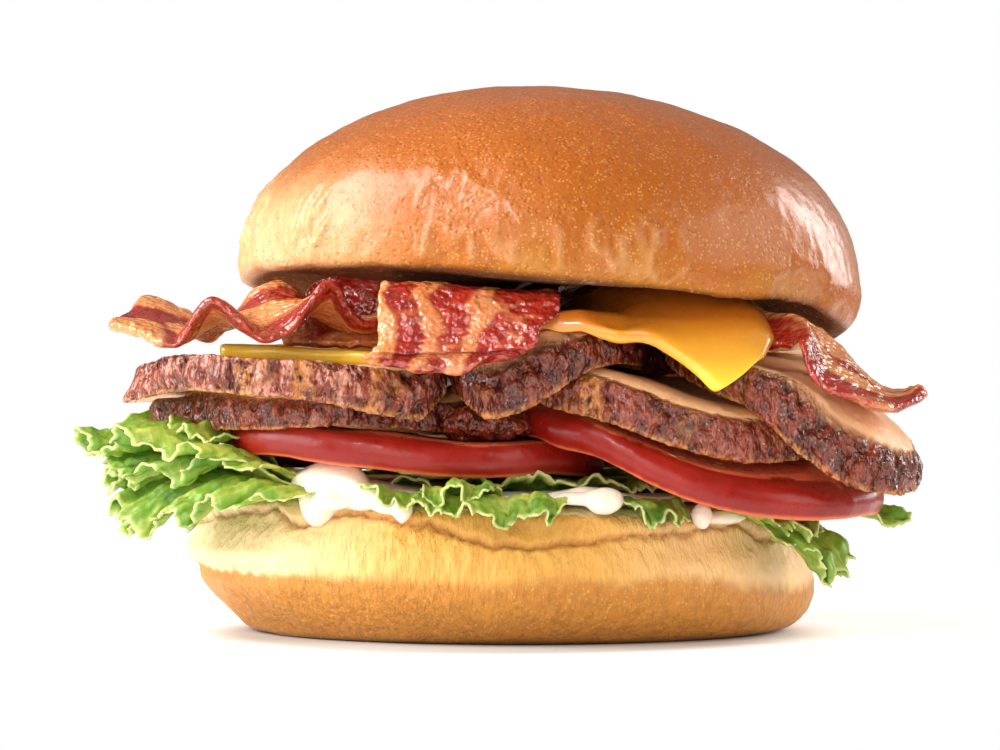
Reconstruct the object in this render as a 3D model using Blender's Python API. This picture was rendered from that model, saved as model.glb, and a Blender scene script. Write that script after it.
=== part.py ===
"""Turkey club sandwich on a soft glazed bun, stacked piece by piece from the heel up.

All sizes below are in millimetres and are turned into metres as each mesh is
finished. X runs to the right, Y away from the front and Z up. The origin is the
centre of the flat underside of the bottom bun, which is what the sandwich rests on.
Angles around the sandwich are in degrees from +X, so the front is at -90.
"""
import math

import bmesh
import bpy
from mathutils import Vector, noise
from mathutils.bvhtree import BVHTree

for leftover in list(bpy.data.objects):
    bpy.data.objects.remove(leftover, do_unlink=True)

METRES_PER_MM = 0.001
CLEARANCE = 0.40
FAR_ABOVE = 300.0
NOTHING_BELOW = -1000.0
# rings of probes around a place: (share of the reach, number of probes)
CLEAR_RINGS = ((0.35, 5), (0.68, 8), (1.0, 12))

# Bottom bun. Levels run from 0 at the base to 1 at the cut face.
HEEL_RADIUS = 56.3
HEEL_HEIGHT = 24.6
HEEL_HEIGHT_SLOPE = -0.02
HEEL_BASE = 0.84
HEEL_BASE_SHIFT = 2.4
HEEL_BASE_FADE = 3.0
HEEL_SIDE_RINGS = 6
HEEL_SIDE_TURN = math.pi * 0.72
HEEL_SIDE_TOP = 0.60
HEEL_WIDEST = 0.5
HEEL_SIDE_POWER = 1.0
HEEL_RISE_POWER = 1.29
HEEL_RISE_TILT = 0.45
HEEL_CREASE = ((0.975, 0.73), (0.937, 0.83), (0.948, 0.91), (0.905, 0.985))
HEEL_FACE_RINGS = (0.62, 0.0)
HEEL_SWELL = 0.6
HEEL_SWELL_SIZE = 16.0
HEEL_CREASE_WAVE = 1.3
HEEL_CREASE_WAVE_SIZE = 13.0
HEEL_SEGMENTS = 48

# Top bun: its own axes lean to the right and to the back
CROWN_RADIUS = 56.7
CROWN_HEIGHT = 40.5
CROWN_FULLNESS = 2.0
CROWN_WIDEST = 8.0
CROWN_CENTRE = (8.7, 0.0, 57.0)
CROWN_SLOPE_X = -0.097
CROWN_SLOPE_Y = -0.105
CROWN_SHOULDER_SHIFT = 2.6
CROWN_RIGHT_DRAW = 1.5
CROWN_RIGHT_DRAW_TOP = 46.0
CROWN_UNDER_RINGS = (0.0, 0.22, 0.42, 0.60, 0.75, 0.88)
CROWN_ROLL = 0.10
CROWN_ROLL_RINGS = 4
CROWN_DOME_RINGS = 8
CROWN_SQUARE = 0.9
CROWN_WAVE = 0.9
CROWN_WAVE_SIZE = 26.0
CROWN_SOFT_HEIGHT = 1.6
CROWN_UNDER_REACH = 12.0
CROWN_ROLL_REACH = 3.0
CROWN_SEGMENTS = 48

# Mayonnaise: a thin spread with thick drops at the edge, each with its angle, the radius
# of its middle, its own radius, its height and how far it runs over the edge
SPREAD_CENTRE = (0.0, -0.5)
SPREAD_RADIUS = 50.0
SPREAD_INSET = 3.0
SPREAD_THICKNESS = 1.2
SPREAD_LOWEST = 21.3
SPREAD_WAVE = 2.0
SPREAD_REACH = 4.6
SPREAD_DROP_SHARE = 0.75
SPREAD_DROPS = (
    (-124.0, 52.0, 9.5, 3.4, 10.5),
    (-71.0, 53.0, 5.0, 4.0, 10.0),
    (62.0, 50.0, 7.0, 3.0, 6.0),
)

# Lettuce: thin ruffled leaves that fan out between two angles and are free past a radius.
# There each rises and then hangs, by amounts given along it from its start (0) to its end (1).
LEAF_THICKNESS = 0.8
LEAF_LEVEL = 24.0
LEAF_RISE_END = 0.42
LEAF_HANG_POWER = 1.6
LEAF_RUFFLE_POWER = 1.4
LEAF_SWING = 1.6
LEAF_CORNER = 0.16
LEAF_CORNER_SHARE = 0.72
LEAF_REACH = 3.8
LEAVES = {
    "lettuce_left": dict(
        angles=(172.0, 236.0), inner=26.0, outer=75.4, free_from=46.0,
        rise=((0.0, 9.0), (0.5, 9.5), (1.0, 5.0)), hang=((0.0, 3.0), (0.5, 3.0), (1.0, 4.0)),
        ruffles=3.0, ruffle_height=7.0, fine=0.25, scallop=2.0, phase=4.1, steps=(26, 7)),
    "lettuce_front": dict(
        angles=(242.0, 286.0), inner=28.0, outer=59.5, free_from=51.0,
        rise=((0.0, 2.0), (1.0, 2.0)), hang=((0.0, 4.0), (1.0, 3.4)),
        ruffles=2.6, ruffle_height=1.4, fine=0.4, scallop=1.2, phase=1.5, steps=(16, 6)),
    "lettuce_middle": dict(
        angles=(292.0, 306.0), inner=30.0, outer=58.5, free_from=50.0,
        rise=((0.0, 2.0), (1.0, 2.0)), hang=((0.0, 5.0), (1.0, 5.0)),
        ruffles=1.2, ruffle_height=1.0, fine=0.4, scallop=1.0, phase=0.3, steps=(7, 6)),
    "lettuce_right": dict(
        angles=(311.0, 352.0), inner=28.0, outer=66.5, free_from=53.0,
        rise=((0.0, 0.0), (1.0, 1.0)),
        hang=((0.0, 6.0), (0.38, 13.5), (0.58, 9.0), (0.78, 2.8), (1.0, 2.0)),
        ruffles=3.1, ruffle_height=2.4, fine=0.35, scallop=2.0, phase=2.2, steps=(20, 7),
        tongues=((0.74, 10.5, 0.08),)),
    "lettuce_back": dict(
        angles=(42.0, 126.0), inner=28.0, outer=62.5, free_from=50.0,
        rise=((0.0, 3.0), (1.0, 3.0)), hang=((0.0, 2.0), (1.0, 2.0)),
        ruffles=3.6, ruffle_height=2.8, fine=0.4, scallop=2.0, phase=0.9, steps=(20, 6)),
}

# Slices. Each outline has a centre, half widths, a squareness (2 is an ellipse), a turn and
# slow waves. The underside's height is given against x along the front edge, the middle and
# the back edge, with the slice leaning up from both edges. A seam is the cut line x = a + b*y
# between two neighbours, and the side is the one on which the slice lies.
RIMS = {
    # (bulge as a share of the radius, level from underside to upper face)
    "turkey": ((-0.006, 0.0), (0.012, 0.28), (0.014, 0.70), (-0.002, 1.0)),
    "tomato": ((-0.010, 0.02), (0.020, 0.3), (0.020, 0.7), (-0.010, 0.98)),
    "mayonnaise": ((-0.004, 0.0), (0.022, 0.35), (0.010, 0.8)),
}
RINGS = {
    "turkey": (0.0, 0.40, 0.72, 0.93),
    "tomato": (0.0, 0.50, 0.88),
    "mayonnaise": (0.0, 0.50, 0.86, 0.94),
}
SEAM_GAP = 0.9
SEAM_BLEND = 2.0
LEAN_BLEND = 3.0
INNER_FROM = 0.5
INNER_TO = 0.95
INNER_REACH = 6.5
UPPER_SEAM = (-12.5, -0.076)
LOWER_SEAM = (-4.0, -0.09)
SLICES = {
    "tomato_left": dict(
        kind="tomato", centre=(-15.5, -19.5), half=(33.2, 33.4), squareness=2.05, turn=0.0,
        wave=0.02, seed=3, thickness=5.8, inner=5.8,
        front=((-50, 31.2), (-21, 28.6), (-6, 27.8), (15, 25.8)),
        middle=((-50, 30.4), (0, 28.0), (20, 27.0)),
        back=((-50, 28.6), (20, 26.6)), lean=(0.02, 0.1), reach=2.2, ease=6, stiff=True),
    "tomato_back": dict(
        kind="tomato", centre=(4.0, 36.0), half=(33.0, 15.6), squareness=2.6, turn=4.0,
        wave=0.02, seed=9, thickness=5.8, inner=5.8,
        front=((-30, 26.0), (40, 26.0)),
        middle=((-30, 27.5), (40, 27.0)),
        back=((-30, 26.0), (40, 25.0)), lean=(0.3, 0.1), reach=2.2, ease=6, stiff=True),
    "tomato_right": dict(
        kind="tomato", centre=(32.5, -20.0), half=(34.6, 34.8), squareness=2.05, turn=0.0,
        wave=0.015, seed=5, thickness=5.8, inner=5.8,
        front=((0, 34.0), (15.9, 32.7), (22, 29.4), (29.5, 25.8), (37.4, 23.2), (45, 21.9),
               (56, 21.3), (66, 21.6)),
        middle=((0, 34.2), (16, 33.8), (36, 29.0), (56, 26.5), (67, 25.8)),
        back=((0, 33.0), (67, 25.0)), lean=(0.14, 0.1), reach=2.2),
    "turkey_lower_left": dict(
        kind="turkey", centre=(-32.0, -8.5), half=(26.5, 41.5), squareness=2.8, turn=20.0,
        wave=0.05, seed=11, thickness=5.2, inner=4.8,
        front=((-61, 36.5), (-50, 36.4), (-40, 37.2), (-27, 36.9), (-8, 36.0)),
        middle=((-61, 37.0), (-8, 36.5)),
        back=((-60, 35.0), (-8, 34.0)), lean=(0.02, 0.16), relief=1.3, reach=2.2,
        seam=LOWER_SEAM, side=-1),
    "turkey_lower_right": dict(
        kind="turkey", centre=(26.0, -6.0), half=(29.0, 47.0), squareness=2.8, turn=6.0,
        wave=0.04, seed=13, thickness=7.2, inner=4.6,
        front=((3, 38.3), (10, 36.8), (14, 35.8), (22, 31.5), (29.5, 28.9), (37.4, 27.9),
               (44, 28.6), (50, 31.5)),
        middle=((3, 40.6), (15, 42.0), (28, 43.4), (40, 40.5), (52, 36.0)),
        back=((3, 36.0), (50, 33.0)), lean=(0.34, 0.2), relief=1.2, reach=2.4,
        seam=LOWER_SEAM, side=1, beside=("turkey_lower_left",)),
    "turkey_upper_left": dict(
        kind="turkey", centre=(-36.0, -12.5), half=(29.6, 43.5), squareness=3.2, turn=13.0,
        wave=0.05, seed=12, thickness=6.1, inner=4.8,
        front=((-68, 40.9), (-62.8, 42.1), (-55, 44.8), (-50, 44.4), (-44.7, 42.9),
               (-33, 42.2), (-23, 39.6), (-14, 38.0), (-8, 38.0)),
        middle=((-67, 41.6), (-55, 43.6), (-40, 43.5), (-6, 41.0)),
        back=((-67, 40.0), (-6, 38.0)), lean=(0.06, 0.16), relief=1.4, reach=2.2,
        seam=UPPER_SEAM, side=-1),
    "turkey_upper_middle": dict(
        kind="turkey", centre=(5.4, -6.0), half=(19.6, 47.5), squareness=3.6, turn=0.0,
        wave=0.03, seed=16, thickness=5.9, inner=3.9,
        front=((-8, 38.2), (0, 38.6), (8, 40.4), (14, 43.0), (19, 46.0), (24, 48.0)),
        middle=((-8, 44.0), (24, 47.5)),
        back=((-8, 42.0), (24, 42.0)), lean=(0.35, 0.16), relief=1.2, reach=3.6,
        seam=UPPER_SEAM, side=1, beside=("turkey_upper_left",)),
    "turkey_upper_right": dict(
        kind="turkey", centre=(43.4, -8.8), half=(23.6, 46.2), squareness=2.4, turn=21.5,
        wave=0.04, seed=18, thickness=6.6, inner=3.8,
        front=((16, 51.0), (23, 50.0), (30, 45.4), (38, 40.0), (44, 36.2), (50.6, 32.2),
               (55.8, 28.4), (60, 26.4), (66, 25.0), (74, 25.6)),
        middle=((16, 52.0), (30, 49.5), (45, 43.5), (60, 35.5), (72, 30.5)),
        back=((16, 46.0), (45, 40.0), (72, 28.0)), lean=(0.32, 0.16), relief=1.3, reach=3.4),
}
SLICE_SEGMENTS = {"turkey": 36, "tomato": 36, "mayonnaise": 44}
FACE_SHARP_ANGLE = 50.0

# Cheese: one square slice whose front corner hangs down at the right
CHEESE_SIDE = 90.0
CHEESE_THICKNESS = 2.6
CHEESE_TURN = -14.8
CHEESE_CENTRE = (5.0, 2.0)
CHEESE_STEPS = 13
CHEESE_SQUARENESS = 40.0
CHEESE_FRONT = ((-50, 51.2), (-26, 49.5), (-8, 50.9), (14, 53.0), (20, 53.1), (26, 50.8),
                (33, 46.0), (37, 43.6), (44, 46.4), (52, 47.6))
CHEESE_MIDDLE = ((-50, 51.4), (60, 47.4))
CHEESE_BACK = ((-50, 47.4), (60, 43.4))
CHEESE_LEAN = (0.25, 0.12)
CHEESE_REACH = 5.7
CHEESE_CORNER_REACH = 3.2
CHEESE_HANGING = (6.5, 11.0)

# Bacon: strips between a front and a back edge, each edge through a few stations
BACON_THICKNESS = 2.0
BACON_WAVE = 0.7
BACON_WAVE_SIZE = 9.0
STRIPS = {
    "bacon_left": dict(
        front=((-68.7, -40, 54.0), (-62.0, -44, 53.3), (-56.2, -46, 51.4), (-50.1, -48, 60.4),
               (-41.3, -48, 52.0), (-34.7, -47, 55.4), (-29.6, -45, 63.4), (-26.0, -41, 57.0),
               (-20.5, -38, 51.0)),
        back=((-63.2, -17, 59.6), (-58.5, -19, 58.4), (-54.0, -21, 55.5), (-49.5, -22, 50.0),
              (-44.0, -20, 61.0), (-37.0, -20, 61.4), (-30.5, -20, 50.0), (-26.0, -17, 50.0),
              (-20.5, -16, 50.0)), steps=(26, 4), seed=31, reach=2.2),
    "bacon_middle": dict(
        front=((-24.5, -58.5, 47.0), (-21.4, -54.0, 51.8), (-21.6, -52.0, 58.0),
               (-21.0, -46.0, 62.2), (-20.0, -30.0, 58.5), (-19.0, -5.0, 57.0),
               (-17.0, 22.0, 55.0), (-15.0, 43.0, 54.5)),
        back=((6.5, -55.5, 48.6), (7.8, -53.5, 51.0), (9.8, -51.0, 56.0), (10.6, -46.0, 59.4),
              (10.0, -30.0, 59.0), (11.0, -5.0, 57.5), (12.0, 22.0, 55.0),
              (14.0, 43.0, 54.5)), steps=(26, 4), seed=32, reach=3.2),
    "bacon_right": dict(
        front=((38.0, -30.0, 54.0), (44.0, -38.0, 55.6), (50.3, -44.0, 57.0),
               (52.0, -50.0, 50.5), (53.6, -52.0, 45.0), (59.5, -52.0, 42.4),
               (66.0, -50.0, 40.8), (70.5, -46.0, 41.6), (73.2, -42.0, 43.2)),
        back=((42.0, -6.0, 52.5), (47.0, -13.0, 53.5), (52.5, -20.0, 54.3),
              (56.0, -25.0, 53.4), (59.0, -28.0, 51.0), (62.5, -28.5, 47.0),
              (66.5, -29.5, 43.6), (71.0, -33.0, 43.4), (73.4, -37.5, 44.0)),
        steps=(24, 4), seed=33, reach=2.2),
}

MATERIALS = {
    # base colour, roughness
    "bun_bottom": ((0.80, 0.55, 0.20), 0.75),
    "bun_top": ((0.72, 0.38, 0.10), 0.35),
    "mayonnaise": ((0.93, 0.90, 0.80), 0.30),
    "lettuce": ((0.38, 0.58, 0.12), 0.45),
    "tomato": ((0.60, 0.07, 0.04), 0.25),
    "turkey": ((0.78, 0.58, 0.42), 0.55),
    "cheese": ((0.95, 0.58, 0.08), 0.30),
    "bacon": ((0.45, 0.08, 0.05), 0.35),
}


def smooth_step(low, high, value):
    """0 below low, 1 above high and an S curve between them."""
    share = min(max((value - low) / (high - low), 0.0), 1.0)
    return share * share * (3.0 - 2.0 * share)


def soft_min(first, second, blend):
    """The lower of two values with their crossing rounded over the blend length."""
    mix = min(max(0.5 + 0.5 * (second - first) / blend, 0.0), 1.0)
    return second + (first - second) * mix - blend * mix * (1.0 - mix) * 0.5


def along(knots, place):
    """A smooth curve through (place, value) knots, flat beyond both ends."""
    if place <= knots[0][0]:
        return knots[0][1]
    if place >= knots[-1][0]:
        return knots[-1][1]
    last = len(knots) - 1
    index = max(i for i in range(last) if knots[i][0] <= place)
    slopes = []
    for i in (index, index + 1):
        before = knots[max(i - 1, 0)]
        after = knots[min(i + 1, last)]
        slopes.append((after[1] - before[1]) / (after[0] - before[0]))
    start, end = knots[index], knots[index + 1]
    span = end[0] - start[0]
    t = (place - start[0]) / span
    return ((1 + 2 * t) * (1 - t) ** 2 * start[1] + t * (1 - t) ** 2 * span * slopes[0]
            + t * t * (3 - 2 * t) * end[1] + t * t * (t - 1) * span * slopes[1])


def lumps(x, y, z, size, seed):
    """Smooth lumps between about -1 and 1, one about every size millimetres."""
    return noise.noise(Vector((x / size + seed * 7.3, y / size - seed * 3.1, z / size)))


def rounded_outline(angle, half, squareness, turn):
    """Radius of a rounded box or ellipse at an angle, in radians."""
    local = angle - math.radians(turn)
    across = abs(math.cos(local)) / half[0]
    deep = abs(math.sin(local)) / half[1]
    return (across ** squareness + deep ** squareness) ** (-1.0 / squareness)


def spun_profile(profile, segments):
    """A closed body of revolution from (radius, height) points that start and end on the axis."""
    mesh = bmesh.new()
    points = [mesh.verts.new((radius, 0.0, height)) for radius, height in profile]
    edges = [mesh.edges.new(pair) for pair in zip(points, points[1:])]
    bmesh.ops.spin(mesh, geom=points + edges, cent=(0, 0, 0), axis=(0, 0, 1), dvec=(0, 0, 0),
                   angle=math.tau, steps=segments, use_merge=True, use_duplicate=False)
    bmesh.ops.remove_doubles(mesh, verts=mesh.verts, dist=1e-5)
    bmesh.ops.recalc_face_normals(mesh, faces=mesh.faces)
    return mesh


def add_piece(name, mesh, centre, kind, whole):
    """Makes the object, with its own origin at centre and every length turned into metres."""
    bmesh.ops.translate(mesh, verts=mesh.verts, vec=-Vector(centre))
    bmesh.ops.scale(mesh, verts=mesh.verts, vec=(METRES_PER_MM,) * 3)
    data = bpy.data.meshes.new(name)
    mesh.to_mesh(data)
    mesh.free()
    data.shade_smooth()
    data.set_sharp_from_angle(angle=math.radians(FACE_SHARP_ANGLE))
    colour, roughness = MATERIALS[kind]
    material = bpy.data.materials.new(name)
    material.use_nodes = True
    shader = material.node_tree.nodes["Principled BSDF"]
    shader.inputs["Base Color"].default_value = (*colour, 1.0)
    shader.inputs["Roughness"].default_value = roughness
    shader.inputs["Metallic"].default_value = 0.0
    material.diffuse_color = (*colour, 1.0)
    data.materials.append(material)
    piece = bpy.data.objects.new(name, data)
    piece.location = Vector(centre) * METRES_PER_MM
    piece.parent = whole
    bpy.context.scene.collection.objects.link(piece)
    return piece


class Pile:
    """The pieces stacked so far, asked for the height of their upper surface."""

    def __init__(self, whole):
        self.whole = whole
        self.trees = {}
        self.corners = {}

    def add(self, piece):
        bpy.context.view_layer.update()
        graph = bpy.context.evaluated_depsgraph_get()
        shown = piece.evaluated_get(graph)
        data = shown.to_mesh()
        points = [shown.matrix_world @ v.co / METRES_PER_MM for v in data.vertices]
        faces = [list(face.vertices) for face in data.polygons]
        self.trees[piece.name] = BVHTree.FromPolygons(points, faces)
        self.corners[piece.name] = points
        shown.to_mesh_clear()

    def highest_near(self, x, y, reach, beside=()):
        """The highest corner of any piece within reach of a place, less the pieces beside it."""
        best = NOTHING_BELOW
        for name, corners in self.corners.items():
            if name not in beside:
                best = max([best] + [corner.z for corner in corners
                                     if math.hypot(corner.x - x, corner.y - y) < reach])
        return best

    def top(self, x, y, beside):
        best = NOTHING_BELOW
        for name, tree in self.trees.items():
            if name in beside:
                continue
            hit = tree.ray_cast(Vector((x, y, FAR_ABOVE)), Vector((0, 0, -1)))[0]
            if hit is not None:
                best = max(best, hit.z)
        return best

    def clear_top(self, x, y, reach, beside=()):
        """The highest point of the pile within reach of a place, less the pieces beside it."""
        best = max(self.top(x, y, beside), self.highest_near(x, y, reach, beside))
        for ring, count in CLEAR_RINGS:
            for step in range(count):
                angle = math.tau * step / count
                best = max(best, self.top(x + reach * ring * math.cos(angle),
                                          y + reach * ring * math.sin(angle), beside))
        return best


def settled(points, near, pile, lift, reach, ease, held, beside=()):
    """Heights for (x, y, z) points that stay clear of the pile within reach(x, y). Each easing
    pass draws every height that isn't held halfway to the mean of the points near it."""
    floor = [pile.clear_top(x, y, reach(x, y), beside) + CLEARANCE + lift for x, y, _ in points]
    heights = [max(point[2], low) for point, low in zip(points, floor)]
    for _ in range(ease):
        eased = list(heights)
        for index, others in enumerate(near):
            if index not in held:
                mean = sum(heights[i] for i in others) / len(others)
                eased[index] = max(0.5 * (heights[index] + mean), floor[index])
        heights = eased
    return heights


class Boundary:
    """The front and back edge of an outline, asked for against x."""

    def __init__(self, centre, outline, segments):
        self.points = []
        for step in range(segments):
            angle = math.tau * step / segments
            radius = outline(angle)
            self.points.append((centre[0] + radius * math.cos(angle),
                                centre[1] + radius * math.sin(angle)))

    def crossings(self, x):
        found = []
        for (x0, y0), (x1, y1) in zip(self.points, self.points[1:] + self.points[:1]):
            if min(x0, x1) <= x <= max(x0, x1) and x0 != x1:
                found.append(y0 + (y1 - y0) * (x - x0) / (x1 - x0))
        if found:
            return min(found), max(found)
        nearest = min(self.points, key=lambda point: abs(point[0] - x))
        return nearest[1], nearest[1]


def everywhere(reach):
    return lambda x, y: reach


def leaning(boundary, front, middle, back, lean):
    """Free height of a slice at a place: it leans up from both edges towards its middle."""
    def height(x, y):
        front_y, back_y = boundary.crossings(x)
        rising = along(front, x) + lean[0] * (y - front_y)
        falling = along(back, x) + lean[1] * (back_y - y)
        return soft_min(soft_min(rising, along(middle, x), LEAN_BLEND), falling, LEAN_BLEND)
    return height


def draped_slice(name, kind, centre, outline, thickness, height, pile, relief=0.0, seed=1,
                 reach=4.0, ease=3, stiff=False, beside=(), is_cut=None):
    """A slice that lies on the pile. Functions give its radius at an angle, its thickness at a
    place and share of the radius, and the height its underside would take by itself."""
    rings = RINGS[kind]
    segments = SLICE_SEGMENTS[kind]
    profile = [(ring, 0.0) for ring in rings]
    profile += [(1.0 + bulge, level) for bulge, level in RIMS[kind]]
    profile += [(ring, 1.0) for ring in reversed(rings)]
    mesh = spun_profile(profile, segments)
    shares = list(rings[1:]) + [1.0]
    points = [(centre[0], centre[1], height(*centre))]
    near = [list(range(1, segments + 1))]
    for k, share in enumerate(shares):
        first = 1 + k * segments
        for step in range(segments):
            angle = math.tau * step / segments
            radius = outline(angle) * share
            x = centre[0] + radius * math.cos(angle)
            y = centre[1] + radius * math.sin(angle)
            points.append((x, y, height(x, y)))
            others = [first + (step - 1) % segments, first + (step + 1) % segments]
            others.append(first + step - segments if k else 0)
            if share < 1.0:
                others.append(first + step + segments)
            near.append(others)
    rim_start = 1 + (len(shares) - 1) * segments
    held = () if stiff else range(rim_start, len(points))

    def wide(x, y):
        across, deep = x - centre[0], y - centre[1]
        share = math.hypot(across, deep) / outline(math.atan2(deep, across))
        return INNER_REACH if share < INNER_TO + 0.02 else reach

    heights = settled(points, near, pile, 0.0, wide, ease, held, beside)
    for vert in mesh.verts:
        share = math.hypot(vert.co.x, vert.co.y)
        level = vert.co.z
        angle = math.atan2(vert.co.y, vert.co.x) % math.tau
        step = int(round(angle / math.tau * segments)) % segments
        on_rim = share > rings[-1] + 1e-4
        if on_rim:
            index = rim_start + step
        elif share < 1e-4:
            index = 0
        else:
            k = min(range(len(shares)), key=lambda i: abs(shares[i] - share))
            index = 1 + k * segments + step
        radius = outline(angle) * share
        if on_rim and relief and not is_cut(angle):
            x, y = radius * math.cos(angle), radius * math.sin(angle)
            radius += relief * lumps(x, y, level * 4.0, 6.0, seed)
            radius += 0.5 * relief * lumps(x, y, level * 7.0, 3.0, seed + 5)
        x = centre[0] + radius * math.cos(angle)
        y = centre[1] + radius * math.sin(angle)
        vert.co = (x, y, heights[index] + thickness(x, y, share) * level)
    piece = add_piece(name, mesh, (centre[0], centre[1], heights[0]), kind, pile.whole)
    pile.add(piece)
    return piece


def sheet_solid(name, kind, place, steps, thickness, pile, reach, ease=0):
    """A thin solid from place(u, v) over the unit square that stays clear of the pile, with
    both faces split into triangles alike."""
    columns, rows = steps
    points, near, held = [], [], set()
    for i in range(columns + 1):
        for j in range(rows + 1):
            points.append(tuple(place(i / columns, j / rows)))
            around = ((i - 1, j), (i + 1, j), (i, j - 1), (i, j + 1))
            inside = [(a, b) for a, b in around if 0 <= a <= columns and 0 <= b <= rows]
            near.append([a * (rows + 1) + b for a, b in inside])
            if len(inside) < len(around):
                held.add(len(points) - 1)
    heights = settled(points, near, pile, 0.5 * thickness, reach, ease, held)
    mesh = bmesh.new()
    bmesh.ops.create_grid(mesh, x_segments=columns, y_segments=rows, size=0.5)
    for vert in mesh.verts:
        i = int(round((vert.co.x + 0.5) * columns))
        j = int(round((vert.co.y + 0.5) * rows))
        index = i * (rows + 1) + j
        vert.co = (points[index][0], points[index][1], heights[index])
    bmesh.ops.triangulate(mesh, faces=mesh.faces)
    middle = (columns // 2) * (rows + 1) + rows // 2
    centre = (points[middle][0], points[middle][1], heights[middle])
    piece = add_piece(name, mesh, centre, kind, pile.whole)
    solid = piece.modifiers.new("thickness", "SOLIDIFY")
    solid.thickness = thickness * METRES_PER_MM
    solid.offset = 0.0
    solid.use_even_offset = False
    return piece


# Bottom bun

def heel_profile():
    """(share of the radius, level) from the middle of the base to the middle of the cut face."""
    points = [(0.0, 0.0), (HEEL_BASE, 0.0)]
    for step in range(1, HEEL_SIDE_RINGS + 1):
        turn = HEEL_SIDE_TURN * step / HEEL_SIDE_RINGS
        level = HEEL_SIDE_TOP * (1.0 - math.cos(turn)) / (1.0 - math.cos(HEEL_SIDE_TURN))
        swell = math.sin(math.pi * 0.5 * min(level / HEEL_WIDEST, 1.0)) ** HEEL_SIDE_POWER
        points.append((HEEL_BASE + (1.0 - HEEL_BASE) * swell, level))
    points += HEEL_CREASE
    points += [(ring, 1.0) for ring in HEEL_FACE_RINGS]
    return points


def build_heel(pile):
    crease_low, crease_high = HEEL_CREASE[0][1], HEEL_CREASE[-1][1]
    mesh = spun_profile(heel_profile(), HEEL_SEGMENTS)
    for vert in mesh.verts:
        share = math.hypot(vert.co.x, vert.co.y)
        level = vert.co.z
        angle = math.atan2(vert.co.y, vert.co.x)
        power = HEEL_RISE_POWER + HEEL_RISE_TILT * math.cos(angle) * share
        radius = HEEL_RADIUS * share
        height = HEEL_HEIGHT + HEEL_HEIGHT_SLOPE * radius * math.cos(angle)
        shift = HEEL_BASE_SHIFT * max(0.0, 1.0 - level * HEEL_BASE_FADE) * share
        z = height * level ** power
        if level > 0.0:
            x, y = radius * math.cos(angle) + shift, radius * math.sin(angle)
            swell = HEEL_SWELL * lumps(x, y, z, HEEL_SWELL_SIZE, 2)
            radius += swell * min(level * HEEL_BASE_FADE, 1.0) * share
        x = radius * math.cos(angle) + shift
        y = radius * math.sin(angle)
        if crease_low <= level <= crease_high:
            z += HEEL_CREASE_WAVE * lumps(x, y, 0.0, HEEL_CREASE_WAVE_SIZE, 3)
        vert.co = (x, y, z)
    pile.add(add_piece("bun_bottom", mesh, (0.0, 0.0, 0.0), "bun_bottom", pile.whole))


# Mayonnaise

def spread_outline(angle):
    x, y = SPREAD_RADIUS * math.cos(angle), SPREAD_RADIUS * math.sin(angle)
    radius = SPREAD_RADIUS - SPREAD_INSET + SPREAD_WAVE * lumps(x, y, 0.0, 15.0, 4)
    for where, _, size, _, run in SPREAD_DROPS:
        away = math.remainder(angle - math.radians(where), math.tau) * SPREAD_RADIUS
        radius += run * math.exp(-((away / (size * SPREAD_DROP_SHARE)) ** 2))
    return radius


def spread_thickness(x, y, share):
    height = SPREAD_THICKNESS
    for angle, radius, size, tall, _ in SPREAD_DROPS:
        middle_x = radius * math.cos(math.radians(angle))
        middle_y = radius * math.sin(math.radians(angle))
        distance = math.hypot(x - middle_x, y - middle_y)
        height += tall * math.exp(-((distance / size) ** 2))
    return height


def build_spread(pile):
    draped_slice("mayonnaise", "mayonnaise", SPREAD_CENTRE, spread_outline, spread_thickness,
                 lambda x, y: SPREAD_LOWEST, pile, reach=SPREAD_REACH, ease=0)


# Lettuce

def leaf_place(angles, inner, outer, free_from, rise, hang, ruffles, ruffle_height, fine,
               scallop, phase, tongues=()):
    """place(u, v) of a leaf, with u along its outer edge and v from its root to that edge."""
    def place(u, v):
        angle = math.radians(angles[0] + (angles[1] - angles[0]) * u)
        edge = outer + scallop * math.sin(math.tau * ruffles * 0.5 * u + phase * 1.7)
        edge += sum(reach * math.exp(-(((u - at) / width) ** 2)) for at, reach, width in tongues)
        corner = smooth_step(0.0, LEAF_CORNER, u) * smooth_step(0.0, LEAF_CORNER, 1.0 - u)
        edge = inner + (edge - inner) * (LEAF_CORNER_SHARE + (1.0 - LEAF_CORNER_SHARE) * corner)
        radius = inner + (edge - inner) * v
        free = max(radius - free_from, 0.0) / (outer - free_from)
        wave = math.sin(math.tau * ruffles * u + phase)
        wave += fine * math.sin(math.tau * ruffles * 1.83 * u + phase * 2.1 + 1.0)
        z = LEAF_LEVEL + along(rise, u) * smooth_step(0.0, LEAF_RISE_END, free)
        z += ruffle_height * wave * min(free, 1.0) ** LEAF_RUFFLE_POWER
        z -= along(hang, u) * free ** LEAF_HANG_POWER
        # each ruffle also swings sideways so that its crest overhangs
        swing = LEAF_SWING * math.cos(math.tau * ruffles * u + phase) * min(free, 1.0)
        return (radius * math.cos(angle) - swing * math.sin(angle),
                radius * math.sin(angle) + swing * math.cos(angle), z)
    return place


def build_leaves(pile):
    leaves = []
    for name, sizes in LEAVES.items():
        form = {key: value for key, value in sizes.items() if key != "steps"}
        leaves.append(sheet_solid(name, "lettuce", leaf_place(**form), sizes["steps"],
                                  LEAF_THICKNESS, pile, everywhere(LEAF_REACH)))
    for leaf in leaves:
        pile.add(leaf)


# Tomato, turkey and cheese slices

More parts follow.
